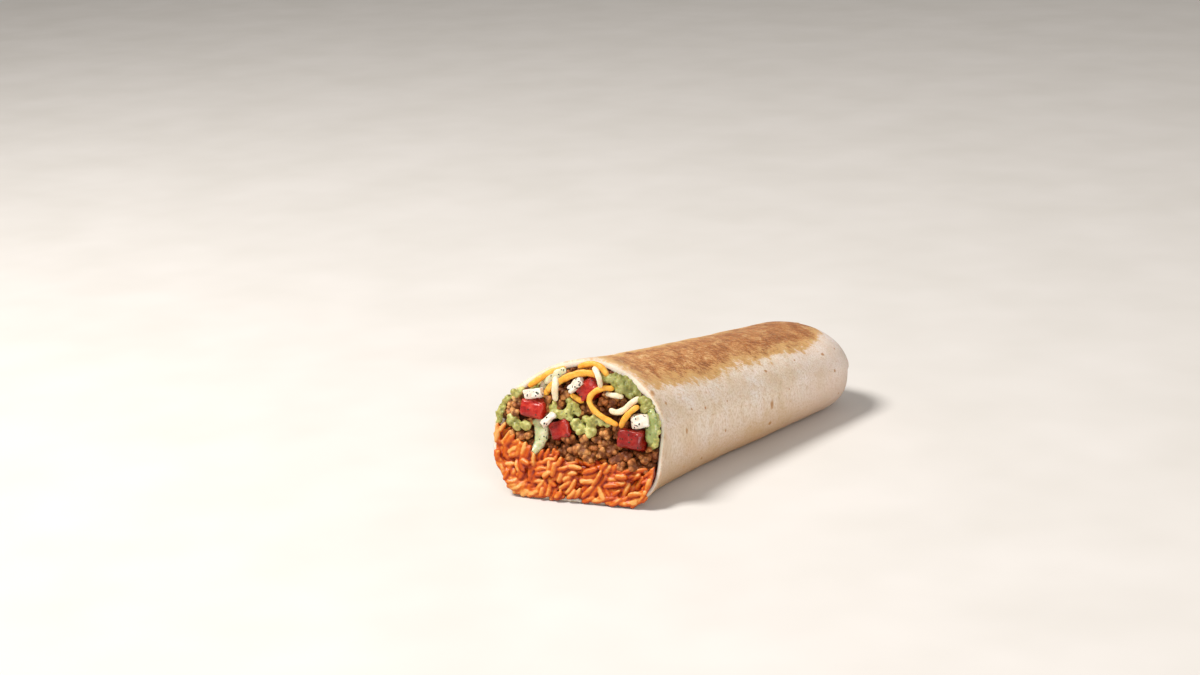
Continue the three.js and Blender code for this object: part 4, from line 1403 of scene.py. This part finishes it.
# %% Dollops
DOLLOPS = {  # balls as x, z, radius and height in front of the cut
    "guacamole_centre": [(-12.4, 32.4, 1.9, 2.6), (-11.4, 30.2, 2.0, 2.8), (-8.8, 29.6, 1.8, 2.8),
                         (-6.2, 30.6, 2.3, 3.0), (-5.2, 33.2, 2.3, 2.8), (-3.4, 31.4, 1.6, 2.6),
                         (-7.4, 35.2, 1.2, 2.2)],
    "guacamole_middle": [(-3.0, 27.4, 2.2, 2.8), (-0.6, 25.8, 2.0, 2.8), (3.2, 28.2, 2.4, 3.2),
                         (3.6, 25.1, 2.2, 3.0), (6.4, 29.0, 1.8, 2.8), (9.0, 28.8, 1.5, 2.4),
                         (0.4, 29.2, 1.5, 2.6)],
    "guacamole_left_lower": [(-27.8, 26.2, 2.1, 2.0), (-25.2, 24.6, 2.1, 2.2),
                             (-21.8, 24.9, 2.0, 2.4), (-28.8, 27.8, 1.4, 1.8)],
    "guacamole_left_edge": [(-31.4, 34.6, 1.5, 1.0), (-32.3, 33.0, 1.6, 1.0),
                            (-32.9, 31.2, 1.6, 1.0), (-33.3, 29.4, 1.5, 1.0),
                            (-33.3, 27.6, 1.4, 1.0), (-33.0, 25.9, 1.1, 0.9)],
    "guacamole_top_left": [(-28.0, 36.0, 1.7, 1.6), (-29.4, 34.8, 1.3, 1.4),
                           (-26.6, 37.4, 1.5, 1.5)],
    "guacamole_top_right": [(5.0, 43.6, 1.7, 2.2), (7.6, 43.9, 2.0, 2.8), (10.6, 43.2, 2.2, 3.0),
                            (12.0, 40.8, 2.2, 2.8), (14.2, 42.0, 2.1, 2.4), (16.6, 40.3, 1.8, 1.8),
                            (9.0, 41.8, 1.7, 2.6), (14.8, 39.3, 1.7, 2.2), (8.6, 45.2, 1.3, 1.8),
                            (12.6, 43.9, 1.5, 1.8), (16.1, 41.9, 1.4, 1.4), (18.4, 39.2, 1.3, 1.4)],
    "guacamole_right": [(20.5, 37.6, 1.8, 2.4), (22.3, 36.6, 2.0, 2.4), (22.1, 34.7, 2.0, 2.4),
                        (23.8, 35.2, 1.5, 1.8)],
    "guacamole_right_low": [(25.8, 31.8, 1.8, 2.0), (24.2, 32.6, 1.8, 2.2),
                            (27.2, 29.6, 1.9, 1.6), (27.0, 26.8, 1.9, 1.6),
                            (27.6, 24.2, 1.7, 1.5), (27.8, 22.4, 1.4, 1.4)],
}


def ball(x, z, radius, out, depth=0.85, level=3):
    bpy.ops.object.select_all(action="DESELECT")
    bpy.ops.mesh.primitive_ico_sphere_add(subdivisions=level, radius=radius * MM)
    lobe = bpy.context.object
    edit(lobe)
    bpy.ops.transform.resize(value=(1, 1, depth))
    leave()
    lobe.matrix_world = aimed(x, z, out, 0)
    return lobe


print("balls:", sum(len(balls) for balls in DOLLOPS.values()))

# %% [markdown]
# ## Guacamole finish
# Avocado varies from yellow-green to olive in soft clouds. The creases get painted shade, and
# each dollop stores how much painted shade it gets. Fine bumps stand for the fibres.

# %% Guacamole finish
guacamole_look = Finish("guacamole", Roughness=0.45, Subsurface_Weight=0.2,
                        Subsurface_Scale=0.003)
mash = guacamole_look.noise(guacamole_look.here(), 3.6, 4, 0.6)
fibre = guacamole_look.noise(guacamole_look.here(), 1.0, 3, 0.6)
green = guacamole_look.ramp(mash, (0.32, (114, 110, 42)), (0.5, (174, 170, 90)),
                            (0.68, (215, 215, 144)))
# Painted shade in the creases.
crease_shade = guacamole_look.span(guacamole_look.attribute("hollow"), -0.5, 1.6, 0, 0.85)
green = guacamole_look.mix(crease_shade, green, (90, 84, 30))
green = guacamole_look.mix(guacamole_look.attribute("shade"), green, (96, 100, 36))
guacamole_finish = guacamole_look.finish(
    green, guacamole_look.span(fibre, 0.3, 0.7, 0.34, 0.55),
    guacamole_look.bump(fibre, 0.35, 0.6),
)
print("guacamole finish:", len(guacamole_look.tree.nodes), "nodes")

# %% [markdown]
# ## Melting the dollops
# Each ball gets a smaller one at its side, so that no outline is a plain circle. A voxel
# remesh joins them, and three sizes of roughening follow: lobes, lumps and fine grain.

# %% Melt the dollops
# Painted shade for each dollop, deepest on the right.
SHADES = {"guacamole_top_right": 0.42, "guacamole_right": 0.34, "guacamole_right_low": 0.16,
          "guacamole_left_lower": 0.0}
OTHER_SHADE = 0.04
AT_THE_SIDE = 0.7  # of the ball's radius
MASH_VOXEL = 0.33
dollops = []
for name, balls in DOLLOPS.items():
    lobes = [ball(x, z, radius, out) for x, z, radius, out in balls]
    for x, z, radius, out in balls:
        turn, away = draw.uniform(0, 2 * math.pi), radius * AT_THE_SIDE
        lobes.append(ball(x + away * math.cos(turn), z + away * math.sin(turn),
                          radius * draw.uniform(0.5, 0.65), out + draw.uniform(0.2, 0.7),
                          depth=1, level=2))
    dollop = joined(lobes, name + "_mash")
    rounded_over(dollop, MASH_VOXEL * MM, 0.5, 6)
    roughened(dollop, size=3.4 * MM, depth=1.3 * MM)
    roughened(dollop, size=1.5 * MM, depth=0.6 * MM, seed=0.1)
    roughened(dollop, size=0.7 * MM, depth=0.14 * MM, seed=0.2)
    pressed_in(dollop, 2.0)
    mark(dollop, "hollow", hollows(dollop, 8))
    mark(dollop, "shade", SHADES.get(name, OTHER_SHADE))
    dollops.append(placed(dollop, name + "_mash", guacamole_finish, "guacamole", name))
mark(guacamole_core, "hollow", hollows(guacamole_core, 6))
placed(guacamole_core, "guacamole_layer", guacamole_finish, "guacamole", "guacamole")

# %% [markdown]
# ## Diced tomato
# A die is a cube whose front is a little smaller than its back, because a knife never cuts
# soft tomato true. Its edges are bevelled, its faces cut finer, and its points shifted a
# little at random. Subdivision then rounds what the knife left. Wet flesh is glossy.

# %% Cut a piece from a cube
FRONT_SIZE, FRONT_SHIFT = (0.92, 0.88, 1), (0.3 * MM, -0.3 * MM, 0)


def cube_piece(name, size, bevel, cuts, shake, seed, place):
    bpy.ops.object.select_all(action="DESELECT")
    bpy.ops.mesh.primitive_cube_add(size=1 * MM)
    piece = bpy.context.object
    piece.name = name
    edit(piece)
    bpy.ops.transform.resize(value=size)
    bpy.ops.mesh.select_all(action="DESELECT")
    mesh = bmesh.from_edit_mesh(piece.data)
    for v in mesh.verts:
        v.select = v.co.z > 0
    mesh.select_flush(True)
    bpy.ops.transform.resize(value=FRONT_SIZE)
    bpy.ops.transform.translate(value=FRONT_SHIFT)
    bpy.ops.mesh.select_all(action="SELECT")
    bpy.ops.mesh.bevel(offset=bevel * MM, segments=2, affect="EDGES")
    bpy.ops.mesh.select_all(action="SELECT")
    bpy.ops.mesh.subdivide(number_cuts=cuts)
    bpy.ops.transform.vertex_random(offset=shake * MM, seed=seed)
    leave()
    subdivided(piece, 1)
    shaped(piece, "SMOOTH", factor=0.5, iterations=6)
    roughened(piece, size=3.8 * MM, depth=1.7 * MM, seed=seed * 0.01)
    piece.matrix_world = place
    only(piece)
    bpy.ops.object.transform_apply(location=True, rotation=True, scale=True)
    return piece


print("cube piece ready")

# %% [markdown]
# ## Tomato finish
# Wet tomato flesh is deep red and glossy, with paler clouds in it. Faces that look up are
# painted lighter and more orange, as painted light from above, and each die stores how much
# painted shade it gets, which darkens it.

# %% Tomato finish
tomato_look = Finish("tomato_flesh", Roughness=0.3, Subsurface_Weight=0.15,
                     Subsurface_Scale=0.003, Coat_Weight=0.12, Coat_Roughness=0.15)
flesh = tomato_look.noise(tomato_look.here(), 3.4, 4, 0.6, 0.5)
cell = tomato_look.noise(tomato_look.here(), 0.9, 3, 0.6)
red = tomato_look.ramp(flesh, (0.3, (120, 10, 6)), (0.5, (172, 22, 13)), (0.72, (204, 58, 34)))
# Painted light: faces that look up are made lighter and more orange.
red = tomato_look.mix(tomato_look.span(tomato_look.attribute("painted_top_light"), 0.35, 0.9, 0, 0.5),
                      red, (196, 72, 44))
# Painted shade: each die is darkened by its stored share.
red = tomato_look.mix(tomato_look.attribute("die_shade"), red, (92, 4, 4))
tomato_finish = tomato_look.finish(red, tomato_look.span(cell, 0.3, 0.7, 0.24, 0.44),
                                   tomato_look.bump(cell, 0.2, 0.5))
print("tomato finish:", len(tomato_look.tree.nodes), "nodes")

# %% [markdown]
# ## The dice
# Four dice lie in the cut, each with its own size, turn and height. Each is made by the same
# steps from another random seed. Its points store how far they face up, for painted light,
# and how much painted shade the die gets.

# %% Dice
DICE = {  # centre on the cut, size, height, turn and painted shade
    "tomato_left": ((-20.6, 31.5), (10.4, 7.6, 7.6), 1.2, -6, 0.0),
    "tomato_middle": ((-8.8, 24.8), (8.4, 8.0, 7.6), 0.4, 20, 0.3),
    "tomato_right": ((18.4, 23.8), (10.6, 7.8, 7.8), 0.7, -3, 0.5),
    "tomato_top": ((-1.2, 39.6), (8.8, 8.2, 7.4), 0.7, 32, 0.1),
}
dice = []
for number, (name, ((x, z), size, out, turn, die_shade)) in enumerate(DICE.items()):
    die = cube_piece(name, size, bevel=1.4, cuts=3, shake=0.5, seed=number + 1,
                     place=aimed(x, z, out, turn))
    mark(die, "painted_top_light", normals_of(die)[:, 2])
    mark(die, "die_shade", die_shade)
    dice.append(placed(die, name + "_die", tomato_finish, "tomato", name))

# %% [markdown]
# ## Grated cheese
# A shred is a strip with a rounded, slightly flattened section that keeps the curl it had
# when it left the grater. Eleven of them cross the cut. A small filled circle is added at one
# end of each and extruded ring by ring along a smooth route, as the tortilla was made.

# %% Shreds
SHREDS = {  # width, thickness, and route as x, z and height in front of the cut
    "cheddar_loop": (2.2, 2.0, [(9.3, 40.4, 3.2), (5.9, 40.5, 4.6), (2.8, 38.8, 5.4),
                                (1.7, 35.8, 5.8), (4.3, 32.4, 5.8), (9.0, 29.8, 5.0),
                                (13.6, 28.0, 4.2)]),
    "cheddar_tail": (2.2, 2.0, [(14.6, 27.2, 4.2), (15.8, 30.2, 5.2), (17.6, 32.9, 5.4),
                                (20.2, 35.4, 4.6)]),
    "cheddar_arch": (2.6, 2.2, [(-15.8, 37.4, 3.0), (-14.4, 39.7, 3.8), (-11.8, 41.2, 4.6),
                                (-8.2, 43.4, 5.0), (-3.9, 45.0, 5.0), (0.6, 45.2, 4.6),
                                (2.9, 44.6, 4.0)]),
    "cheddar_crown": (2.4, 2.1, [(-6.4, 47.0, 1.8), (-3.6, 48.1, 2.4), (-0.4, 48.7, 2.8),
                                 (2.6, 47.8, 3.0), (4.6, 46.2, 3.1), (6.0, 44.4, 3.0)]),
    "white_cheese_left": (2.6, 2.0, [(-12.9, 43.2, 5.2), (-12.1, 40.4, 6.2), (-11.6, 37.6, 6.3),
                                     (-11.2, 34.4, 5.0)]),
    "white_cheese_top": (2.2, 2.0, [(0.6, 47.4, 4.6), (2.8, 45.8, 6.4), (4.3, 43.2, 6.4),
                                    (5.0, 40.4, 5.6)]),
    "white_cheese_lower": (2.3, 1.9, [(9.0, 33.2, 3.6), (12.4, 32.4, 4.2), (15.2, 33.9, 4.4),
                                      (17.1, 36.2, 4.2), (19.3, 38.3, 3.0)]),
    "white_cheese_upper": (2.1, 1.9, [(6.2, 38.6, 2.8), (9.3, 38.3, 3.4), (13.3, 38.1, 3.0)]),
    "cheddar_left": (2.3, 2.1, [(-24.0, 38.8, 1.6), (-21.3, 40.9, 2.1), (-18.4, 43.0, 2.2),
                                (-15.0, 45.1, 2.1), (-10.6, 46.2, 1.8)]),
    "cheddar_stub": (2.3, 2.1, [(-17.0, 35.4, 2.2), (-16.2, 37.6, 2.4), (-15.6, 39.4, 2.0)]),
    "cheddar_under": (2.2, 2.0, [(-7.0, 37.4, 2.6), (-4.4, 36.2, 3.0), (-1.2, 35.0, 2.8)]),
}
print("shreds:", len(SHREDS))

# %% [markdown]
# ## A smooth route
# A few points are enough for a curl. A curve with an even flow is run through them, and then
# measured out into equal steps, one for each ring of the shred.

# %% A smooth route
STEPS_BETWEEN, FEWEST_RINGS = 24, 6


def smooth_route(points, spacing):
    """A smooth curve through points, as evenly spaced points."""
    p = np.array([on_cut(*point) for point in points])
    p = np.vstack([2 * p[0] - p[1], p, 2 * p[-1] - p[-2]])
    found = []
    for a, b, c, d in zip(p, p[1:], p[2:], p[3:]):
        for t in np.linspace(0, 1, STEPS_BETWEEN, endpoint=False):
            found.append(0.5 * (2 * b + (c - a) * t + (2 * a - 5 * b + 4 * c - d) * t**2
                                + (3 * b - a - 3 * c + d) * t**3))
    found = np.array(found + [p[-2]])
    gone = np.r_[0, np.cumsum(np.linalg.norm(np.diff(found, axis=0), axis=1))]
    count = max(FEWEST_RINGS, int(gone[-1] / spacing))
    even = np.linspace(0, gone[-1], count)
    return np.stack([np.interp(even, gone, found[:, k]) for k in range(3)], -1), even


print("rings on one route:", len(smooth_route(SHREDS["cheddar_loop"][2], MM)[1]))

# %% [markdown]
# ## From a circle to a shred
# Each ring is laid square to the route, with its wide side facing out of the cut. Its section
# is a circle pulled towards a square. The size wavers along the shred, and the rings close to
# the ends are smaller, so that subdivision gives blunt ends.

# %% Extrude a shred
SECTION_POINTS, RING_SPACING = 12, 0.9
SQUARED = 0.72
END_SHARES = (0.0, 0.1, 0.45), (0.45, 0.8, 1.0)  # millimetres in from an end, and size there
WAVE, WAVE_RATE, JITTER = 0.07, 1.1, 0.03  # how the size wavers along a shred


def shred(name, wide, thick, route):
    path, gone = smooth_route(route, RING_SPACING * MM)
    ahead = np.gradient(path, axis=0)
    ahead /= np.linalg.norm(ahead, axis=1, keepdims=True)
    across = np.cross(ahead, np.array(OUTWARD))
    across /= np.linalg.norm(across, axis=1, keepdims=True)
    lift = np.cross(across, ahead)
    turns = np.linspace(0, 2 * np.pi, SECTION_POINTS, endpoint=False)
    sides = bent(np.cos(turns), SQUARED) * wide / 2 * MM
    rises = bent(np.sin(turns), SQUARED) * thick / 2 * MM
    from_end = np.minimum(gone, gone[-1] - gone) / MM
    sizes = np.interp(from_end, END_SHARES[0], END_SHARES[1])
    wave = WAVE * np.sin(gone / MM * WAVE_RATE + wide)
    sizes *= 1 + wave + draw.uniform(-JITTER, JITTER, len(gone))
    bpy.ops.object.select_all(action="DESELECT")
    bpy.ops.mesh.primitive_circle_add(vertices=SECTION_POINTS, radius=MM, fill_type="NGON")
    strip = bpy.context.object
    edit(strip)
    mesh = bmesh.from_edit_mesh(strip.data)
    loop = list(mesh.verts)
    for number, centre in enumerate(path):
        if number:
            mesh, loop = extruded(strip, loop)
        for v, s, r in zip(loop, sides, rises):
            v.co = centre + (across[number] * s + lift[number] * r) * sizes[number]
    bpy.ops.mesh.select_all(action="SELECT")
    bpy.ops.mesh.normals_make_consistent(inside=False)
    leave()
    subdivided(strip, 1)
    roughened(strip, size=2.2 * MM, depth=0.35 * MM)
    strip.name = name
    return strip


print("shred sections have", SECTION_POINTS, "points")

# %% [markdown]
# ## Cheese finish
# Grated cheese is waxy and even, with faint clouds and a fine grain. Both kinds share one
# recipe and differ only in their three colours.

# %% Cheese finish and shreds
def cheese_look(name, low, middle, high):
    look = Finish(name, Roughness=0.5, Subsurface_Weight=0.2, Subsurface_Scale=0.003)
    curd = look.noise(look.here(), 2.6, 3)
    grain = look.noise(look.here(), 0.6, 2)
    return look.finish(look.ramp(curd, (0.3, low), (0.5, middle), (0.75, high)),
                       look.span(grain, 0.3, 0.7, 0.42, 0.6), look.bump(grain, 0.12, 0.4))


cheddar_finish = cheese_look("cheddar", (226, 148, 34), (238, 172, 58), (246, 191, 88))
white_finish = cheese_look("white_cheese", (220, 196, 158), (233, 216, 182), (243, 233, 208))
shreds = {}
for name, (wide, thick, route) in SHREDS.items():
    slot = "cheddar" if name.startswith("cheddar") else "white_cheese"
    finish = cheddar_finish if slot == "cheddar" else white_finish
    shreds[name] = placed(shred(name, wide, thick, route), name + "_shred", finish, slot, name)

# %% [markdown]
# ## Herbed white pieces
# Short thick pieces, off-white and soft-cornered, carry dark flecks of herb and pepper.
# They are made as the dice are, and the flecks are laid on them as real small chips.

# %% Speckled pieces
SPECKLED = {  # centre on the cut, size, height and turn
    "speckled_chunk_left": ((-20.8, 36.6), (8.0, 3.8, 3.4), 4.2, 16),
    "speckled_chunk_top": ((-5.4, 40.6), (7.2, 3.4, 3.2), 4.2, 40),
    "speckled_stick": ((-13.2, 27.9), (7.2, 2.9, 2.9), 4.9, 46),
    "speckled_chunk_right": ((21.1, 30.2), (7.6, 5.4, 3.8), 3.2, 14),
}
speckled_look = Finish("speckled_white", Roughness=0.5, Subsurface_Weight=0.15,
                       Subsurface_Scale=0.003)
soft = speckled_look.noise(speckled_look.here(), 2.2, 4)
speckled_finish = speckled_look.finish(
    speckled_look.ramp(soft, (0.3, (208, 188, 166)), (0.5, (234, 219, 202)),
                       (0.75, (246, 238, 226))),
    normal=speckled_look.bump(soft, 0.4, 0.4),
)
chunks = []
for number, (name, ((x, z), size, out, turn)) in enumerate(SPECKLED.items()):
    chunk = cube_piece(name, size, bevel=0.7, cuts=2, shake=0.4, seed=number + 9,
                       place=aimed(x, z, out, turn))
    chunks.append(placed(chunk, name + "_piece", speckled_finish, "white_cheese", name))

# %% [markdown]
# ## Herb sauce
# A thin pale green sauce has run down over the heap and dried to a soft gloss. Flattened
# balls are laid along each run, each on whatever lies under it, and melted into one skin.
# Many rounds of smoothing pull it tight, as surface tension does.

# %% Runs of sauce
RUNS = {  # points as x, z and radius
    "sauce_drip": [[(-19.6, 26.4, 1.0), (-18.4, 26.8, 1.3), (-17.0, 27.4, 1.3)],
                   [(-17.6, 26.2, 1.8), (-16.8, 24.2, 2.4), (-16.2, 22.0, 2.6),
                    (-16.0, 19.8, 2.5), (-16.6, 17.6, 2.0), (-16.9, 15.6, 1.1)],
                   [(-14.8, 26.0, 1.2), (-15.2, 23.6, 2.0), (-14.9, 21.0, 1.9)]],
    "sauce_right": [[(24.6, 33.6, 1.6), (25.6, 31.2, 2.1), (26.0, 28.6, 2.6), (26.0, 25.8, 2.8),
                     (25.9, 23.6, 2.5), (25.7, 21.9, 1.7)],
                    [(22.4, 27.8, 1.3), (24.0, 27.4, 1.9), (25.6, 27.0, 2.0)]],
    "sauce_top_left": [[(-18.9, 38.8, 1.5), (-17.8, 40.7, 2.1), (-16.3, 42.3, 2.5),
                        (-14.8, 43.6, 2.6), (-12.9, 44.7, 2.2), (-11.2, 45.4, 1.5)]],
}
print("runs of sauce:", sum(len(runs) for runs in RUNS.values()))

# %% [markdown]
# ## Sauce finish
# The sauce goes from pale green to cream where it is thick. Each patch stores how creamy it
# is, which shifts the cloudy noise that picks the colour. A thin coat gives the wet shine.

# %% Sauce finish
sauce_look = Finish("herb_sauce", Roughness=0.3, Subsurface_Weight=0.25,
                    Subsurface_Scale=0.003, Coat_Weight=0.2, Coat_Roughness=0.15)
cream_cloud = sauce_look.noise(sauce_look.here(), 2.6, 3)
cream_cloud = sauce_look.plus(cream_cloud, sauce_look.attribute("creamy"))
sauce_finish = sauce_look.finish(
    sauce_look.ramp(cream_cloud, (0.25, (150, 160, 92)), (0.45, (180, 184, 126)),
                    (0.65, (200, 200, 158)), (0.9, (222, 218, 190))),
    normal=sauce_look.bump(sauce_look.noise(sauce_look.here(), 1.0), 0.15, 0.4),
)
print("sauce finish:", len(sauce_look.tree.nodes), "nodes")

# %% [markdown]
# ## Laying the runs
# A drop feels for the surface at its middle and on four sides, and is laid at the average
# height, so that a run bridges small gaps as thick sauce does.

# %% Lay and melt the sauce
CREAMY = {"sauce_drip": 0.1, "sauce_right": -0.24, "sauce_top_left": 0.32}
FEELERS = (0, 0), (1, 0), (-1, 0), (0, 1), (0, -1)  # a drop feels for what is under it
DROPS_A_STEP, DROP_LIFT, DROP_FLATNESS = 6, 0.3, 0.42
PULLED_TIGHT = 16  # rounds of smoothing
behind_sauce = tree_of(rice_grains, beef, *dice, *dollops, shreds["cheddar_left"])
sauces = []
for name, runs in RUNS.items():
    drops = []
    for start, stop in (pair for run in runs for pair in zip(run, run[1:])):
        for share in np.linspace(0, 1, DROPS_A_STEP):
            x, z, radius = between(np.array(start), np.array(stop), share)
            under = [height_on(behind_sauce, x + dx, z + dz, 1.5) for dx, dz in FEELERS]
            drops.append(ball(x, z, radius, float(np.mean(under)) + DROP_LIFT, DROP_FLATNESS))
    sauce = joined(drops, name)
    rounded_over(sauce, 0.3 * MM, 0.5, PULLED_TIGHT)
    roughened(sauce, size=2.6 * MM, depth=0.6 * MM)
    pressed_in(sauce, 3.0)
    mark(sauce, "creamy", CREAMY[name])
    sauces.append(placed(sauce, name, sauce_finish, "guacamole"))

# %% [markdown]
# ## Herb flecks
# Small dark chips of herb and pepper lie on the white pieces, the sauce, the dice and one
# dollop. One chip is a flattened, uneven ball with few faces, and the others are copies of it.

# %% One chip
bpy.ops.object.select_all(action="DESELECT")
bpy.ops.mesh.primitive_ico_sphere_add(subdivisions=2, radius=0.5 * MM)
chip = bpy.context.object
edit(chip)
bpy.ops.transform.resize(value=(1, 0.7, 0.3))
bpy.ops.transform.vertex_random(offset=0.12 * MM, seed=5)
leave()
print("chip:", len(chip.data.polygons), "faces")

# %% [markdown]
# ## Scattering the chips
# Places are drawn at random over a piece, and a chip is laid where a ray finds the piece
# facing out of the cut. It lies flat, a hair off the surface, spun and drawn out at random.

# %% Scatter the chips
TRIES_A_CHIP = 30
FACES_OUT = 0.35  # how far a place must face out of the cut to hold a chip
FULL_TURN, CHIP_LIFT = 6.28, 0.02
CHUNK_CHIPS, SAUCE_CHIPS, DIE_CHIPS, DOLLOP_CHIPS = (8, 9, 3, 9), (7, 7, 9), (2, 3, 8, 7), 4
chips = []


def scatter_chips(obj, count, low, high):
    """Lays chips on a piece, each drawn out by two factors between low and high."""
    tree = tree_of(obj)
    local = from_foot(points_of(obj))
    (x0, _, z0), (x1, _, z1) = local.min(0), local.max(0)
    wanted = len(chips) + count
    for _ in range(count * TRIES_A_CHIP):
        if len(chips) == wanted:
            break
        x, z = draw.uniform(x0, x1), draw.uniform(z0, z1)
        hit, normal, _, _ = tree.ray_cast(on_cut(x, z, FAR_OUT), -OUTWARD)
        if hit is None or normal.dot(OUTWARD) < FACES_OUT:
            continue
        matrix = (Matrix.Translation(hit + normal * CHIP_LIFT * MM)
                  @ normal.to_track_quat("Z", "X").to_matrix().to_4x4()
                  @ Matrix.Rotation(draw.uniform(0, FULL_TURN), 4, "Z")
                  @ Matrix.Scale(draw.uniform(low, high), 4, (1, 0, 0))
                  @ Matrix.Scale(draw.uniform(low, high) * 0.8, 4, (0, 1, 0)))
        chips.append(copied(chip, matrix))


for chunk, count in zip(chunks, CHUNK_CHIPS):
    scatter_chips(chunk, count, 0.35, 1.25)
for sauce, count in zip(sauces, SAUCE_CHIPS):
    scatter_chips(sauce, count, 0.3, 0.95)
for die, count in zip(dice, DIE_CHIPS):
    scatter_chips(die, count, 0.4, 0.9)
scatter_chips(dollops[0], DOLLOP_CHIPS, 0.4, 0.8)
bpy.data.objects.remove(chip)
flecks_piece = joined(chips, "herb_flecks")
print("chips:", len(chips))

# %% [markdown]
# ## Herb finish
# Dried herb and pepper are dull, and go from near black to a dark olive green.

# %% Herb finish
herb_look = Finish("dried_herb", Roughness=0.6)
leaf = herb_look.noise(herb_look.here(), 1.5, 2)
herb_finish = herb_look.finish(herb_look.ramp(leaf, (0.35, (30, 32, 22)), (0.6, (52, 58, 34)),
                                              (0.8, (84, 88, 50))))
placed(flecks_piece, "herb_flecks", herb_finish, "guacamole")

# %% [markdown]
# ## Floor
# A plain pale floor lets the food's own colours show. It lies a hair lower than the foot of
# the roll, so that the two never share a plane.

# %% Floor
FLOOR_SIZE, FLOOR_DROP = 16, 0.0002
bpy.ops.object.select_all(action="DESELECT")
bpy.ops.mesh.primitive_plane_add(size=FLOOR_SIZE, location=(0, 0, -FLOOR_DROP))
floor = bpy.context.object
floor.name = floor.data.name = "floor"
paper = Finish("pale_floor", Roughness=0.9)
paper_noise = paper.noise(paper.here(), 60, 2)
floor.data.materials.append(
    paper.finish(paper.ramp(paper_noise, (0.3, (212, 207, 201)), (0.7, (218, 213, 208))))
)
print("floor ready")

# %% [markdown]
# ## Light
# Large soft lights keep the colours true. The main light is high on the left, so that the far
# side of every lump falls into soft shade. A weaker one on the right and a dim warm glow from
# all round keep that shade from going black.

# %% Lights
GLOW_COLOUR, GLOW = (1, 0.97, 0.93, 1), 0.36


def soft_light(name, size, power, position, tint):
    lamp = bpy.data.lights.new(name, "AREA")
    lamp.shape = "DISK"
    lamp.size = size
    lamp.energy = power
    lamp.color = tint
    holder = bpy.data.objects.new(name, lamp)
    bpy.context.collection.objects.link(holder)
    holder.location = position
    holder.rotation_mode = "QUATERNION"
    holder.rotation_quaternion = Vector(position).to_track_quat("Z", "Y")


soft_light("main", size=0.45, power=22, position=(-0.5, -0.55, 1.2), tint=(1, 0.98, 0.95))
soft_light("fill", size=1.0, power=11, position=(1.2, -0.9, 0.7), tint=(1, 0.98, 0.97))
world = bpy.data.worlds.new("studio")
world.use_nodes = True
background = world.node_tree.nodes["Background"]
background.inputs["Color"].default_value = GLOW_COLOUR
background.inputs["Strength"].default_value = GLOW
bpy.context.scene.world = world
bpy.context.scene.view_settings.view_transform = "Standard"
print("lights ready")
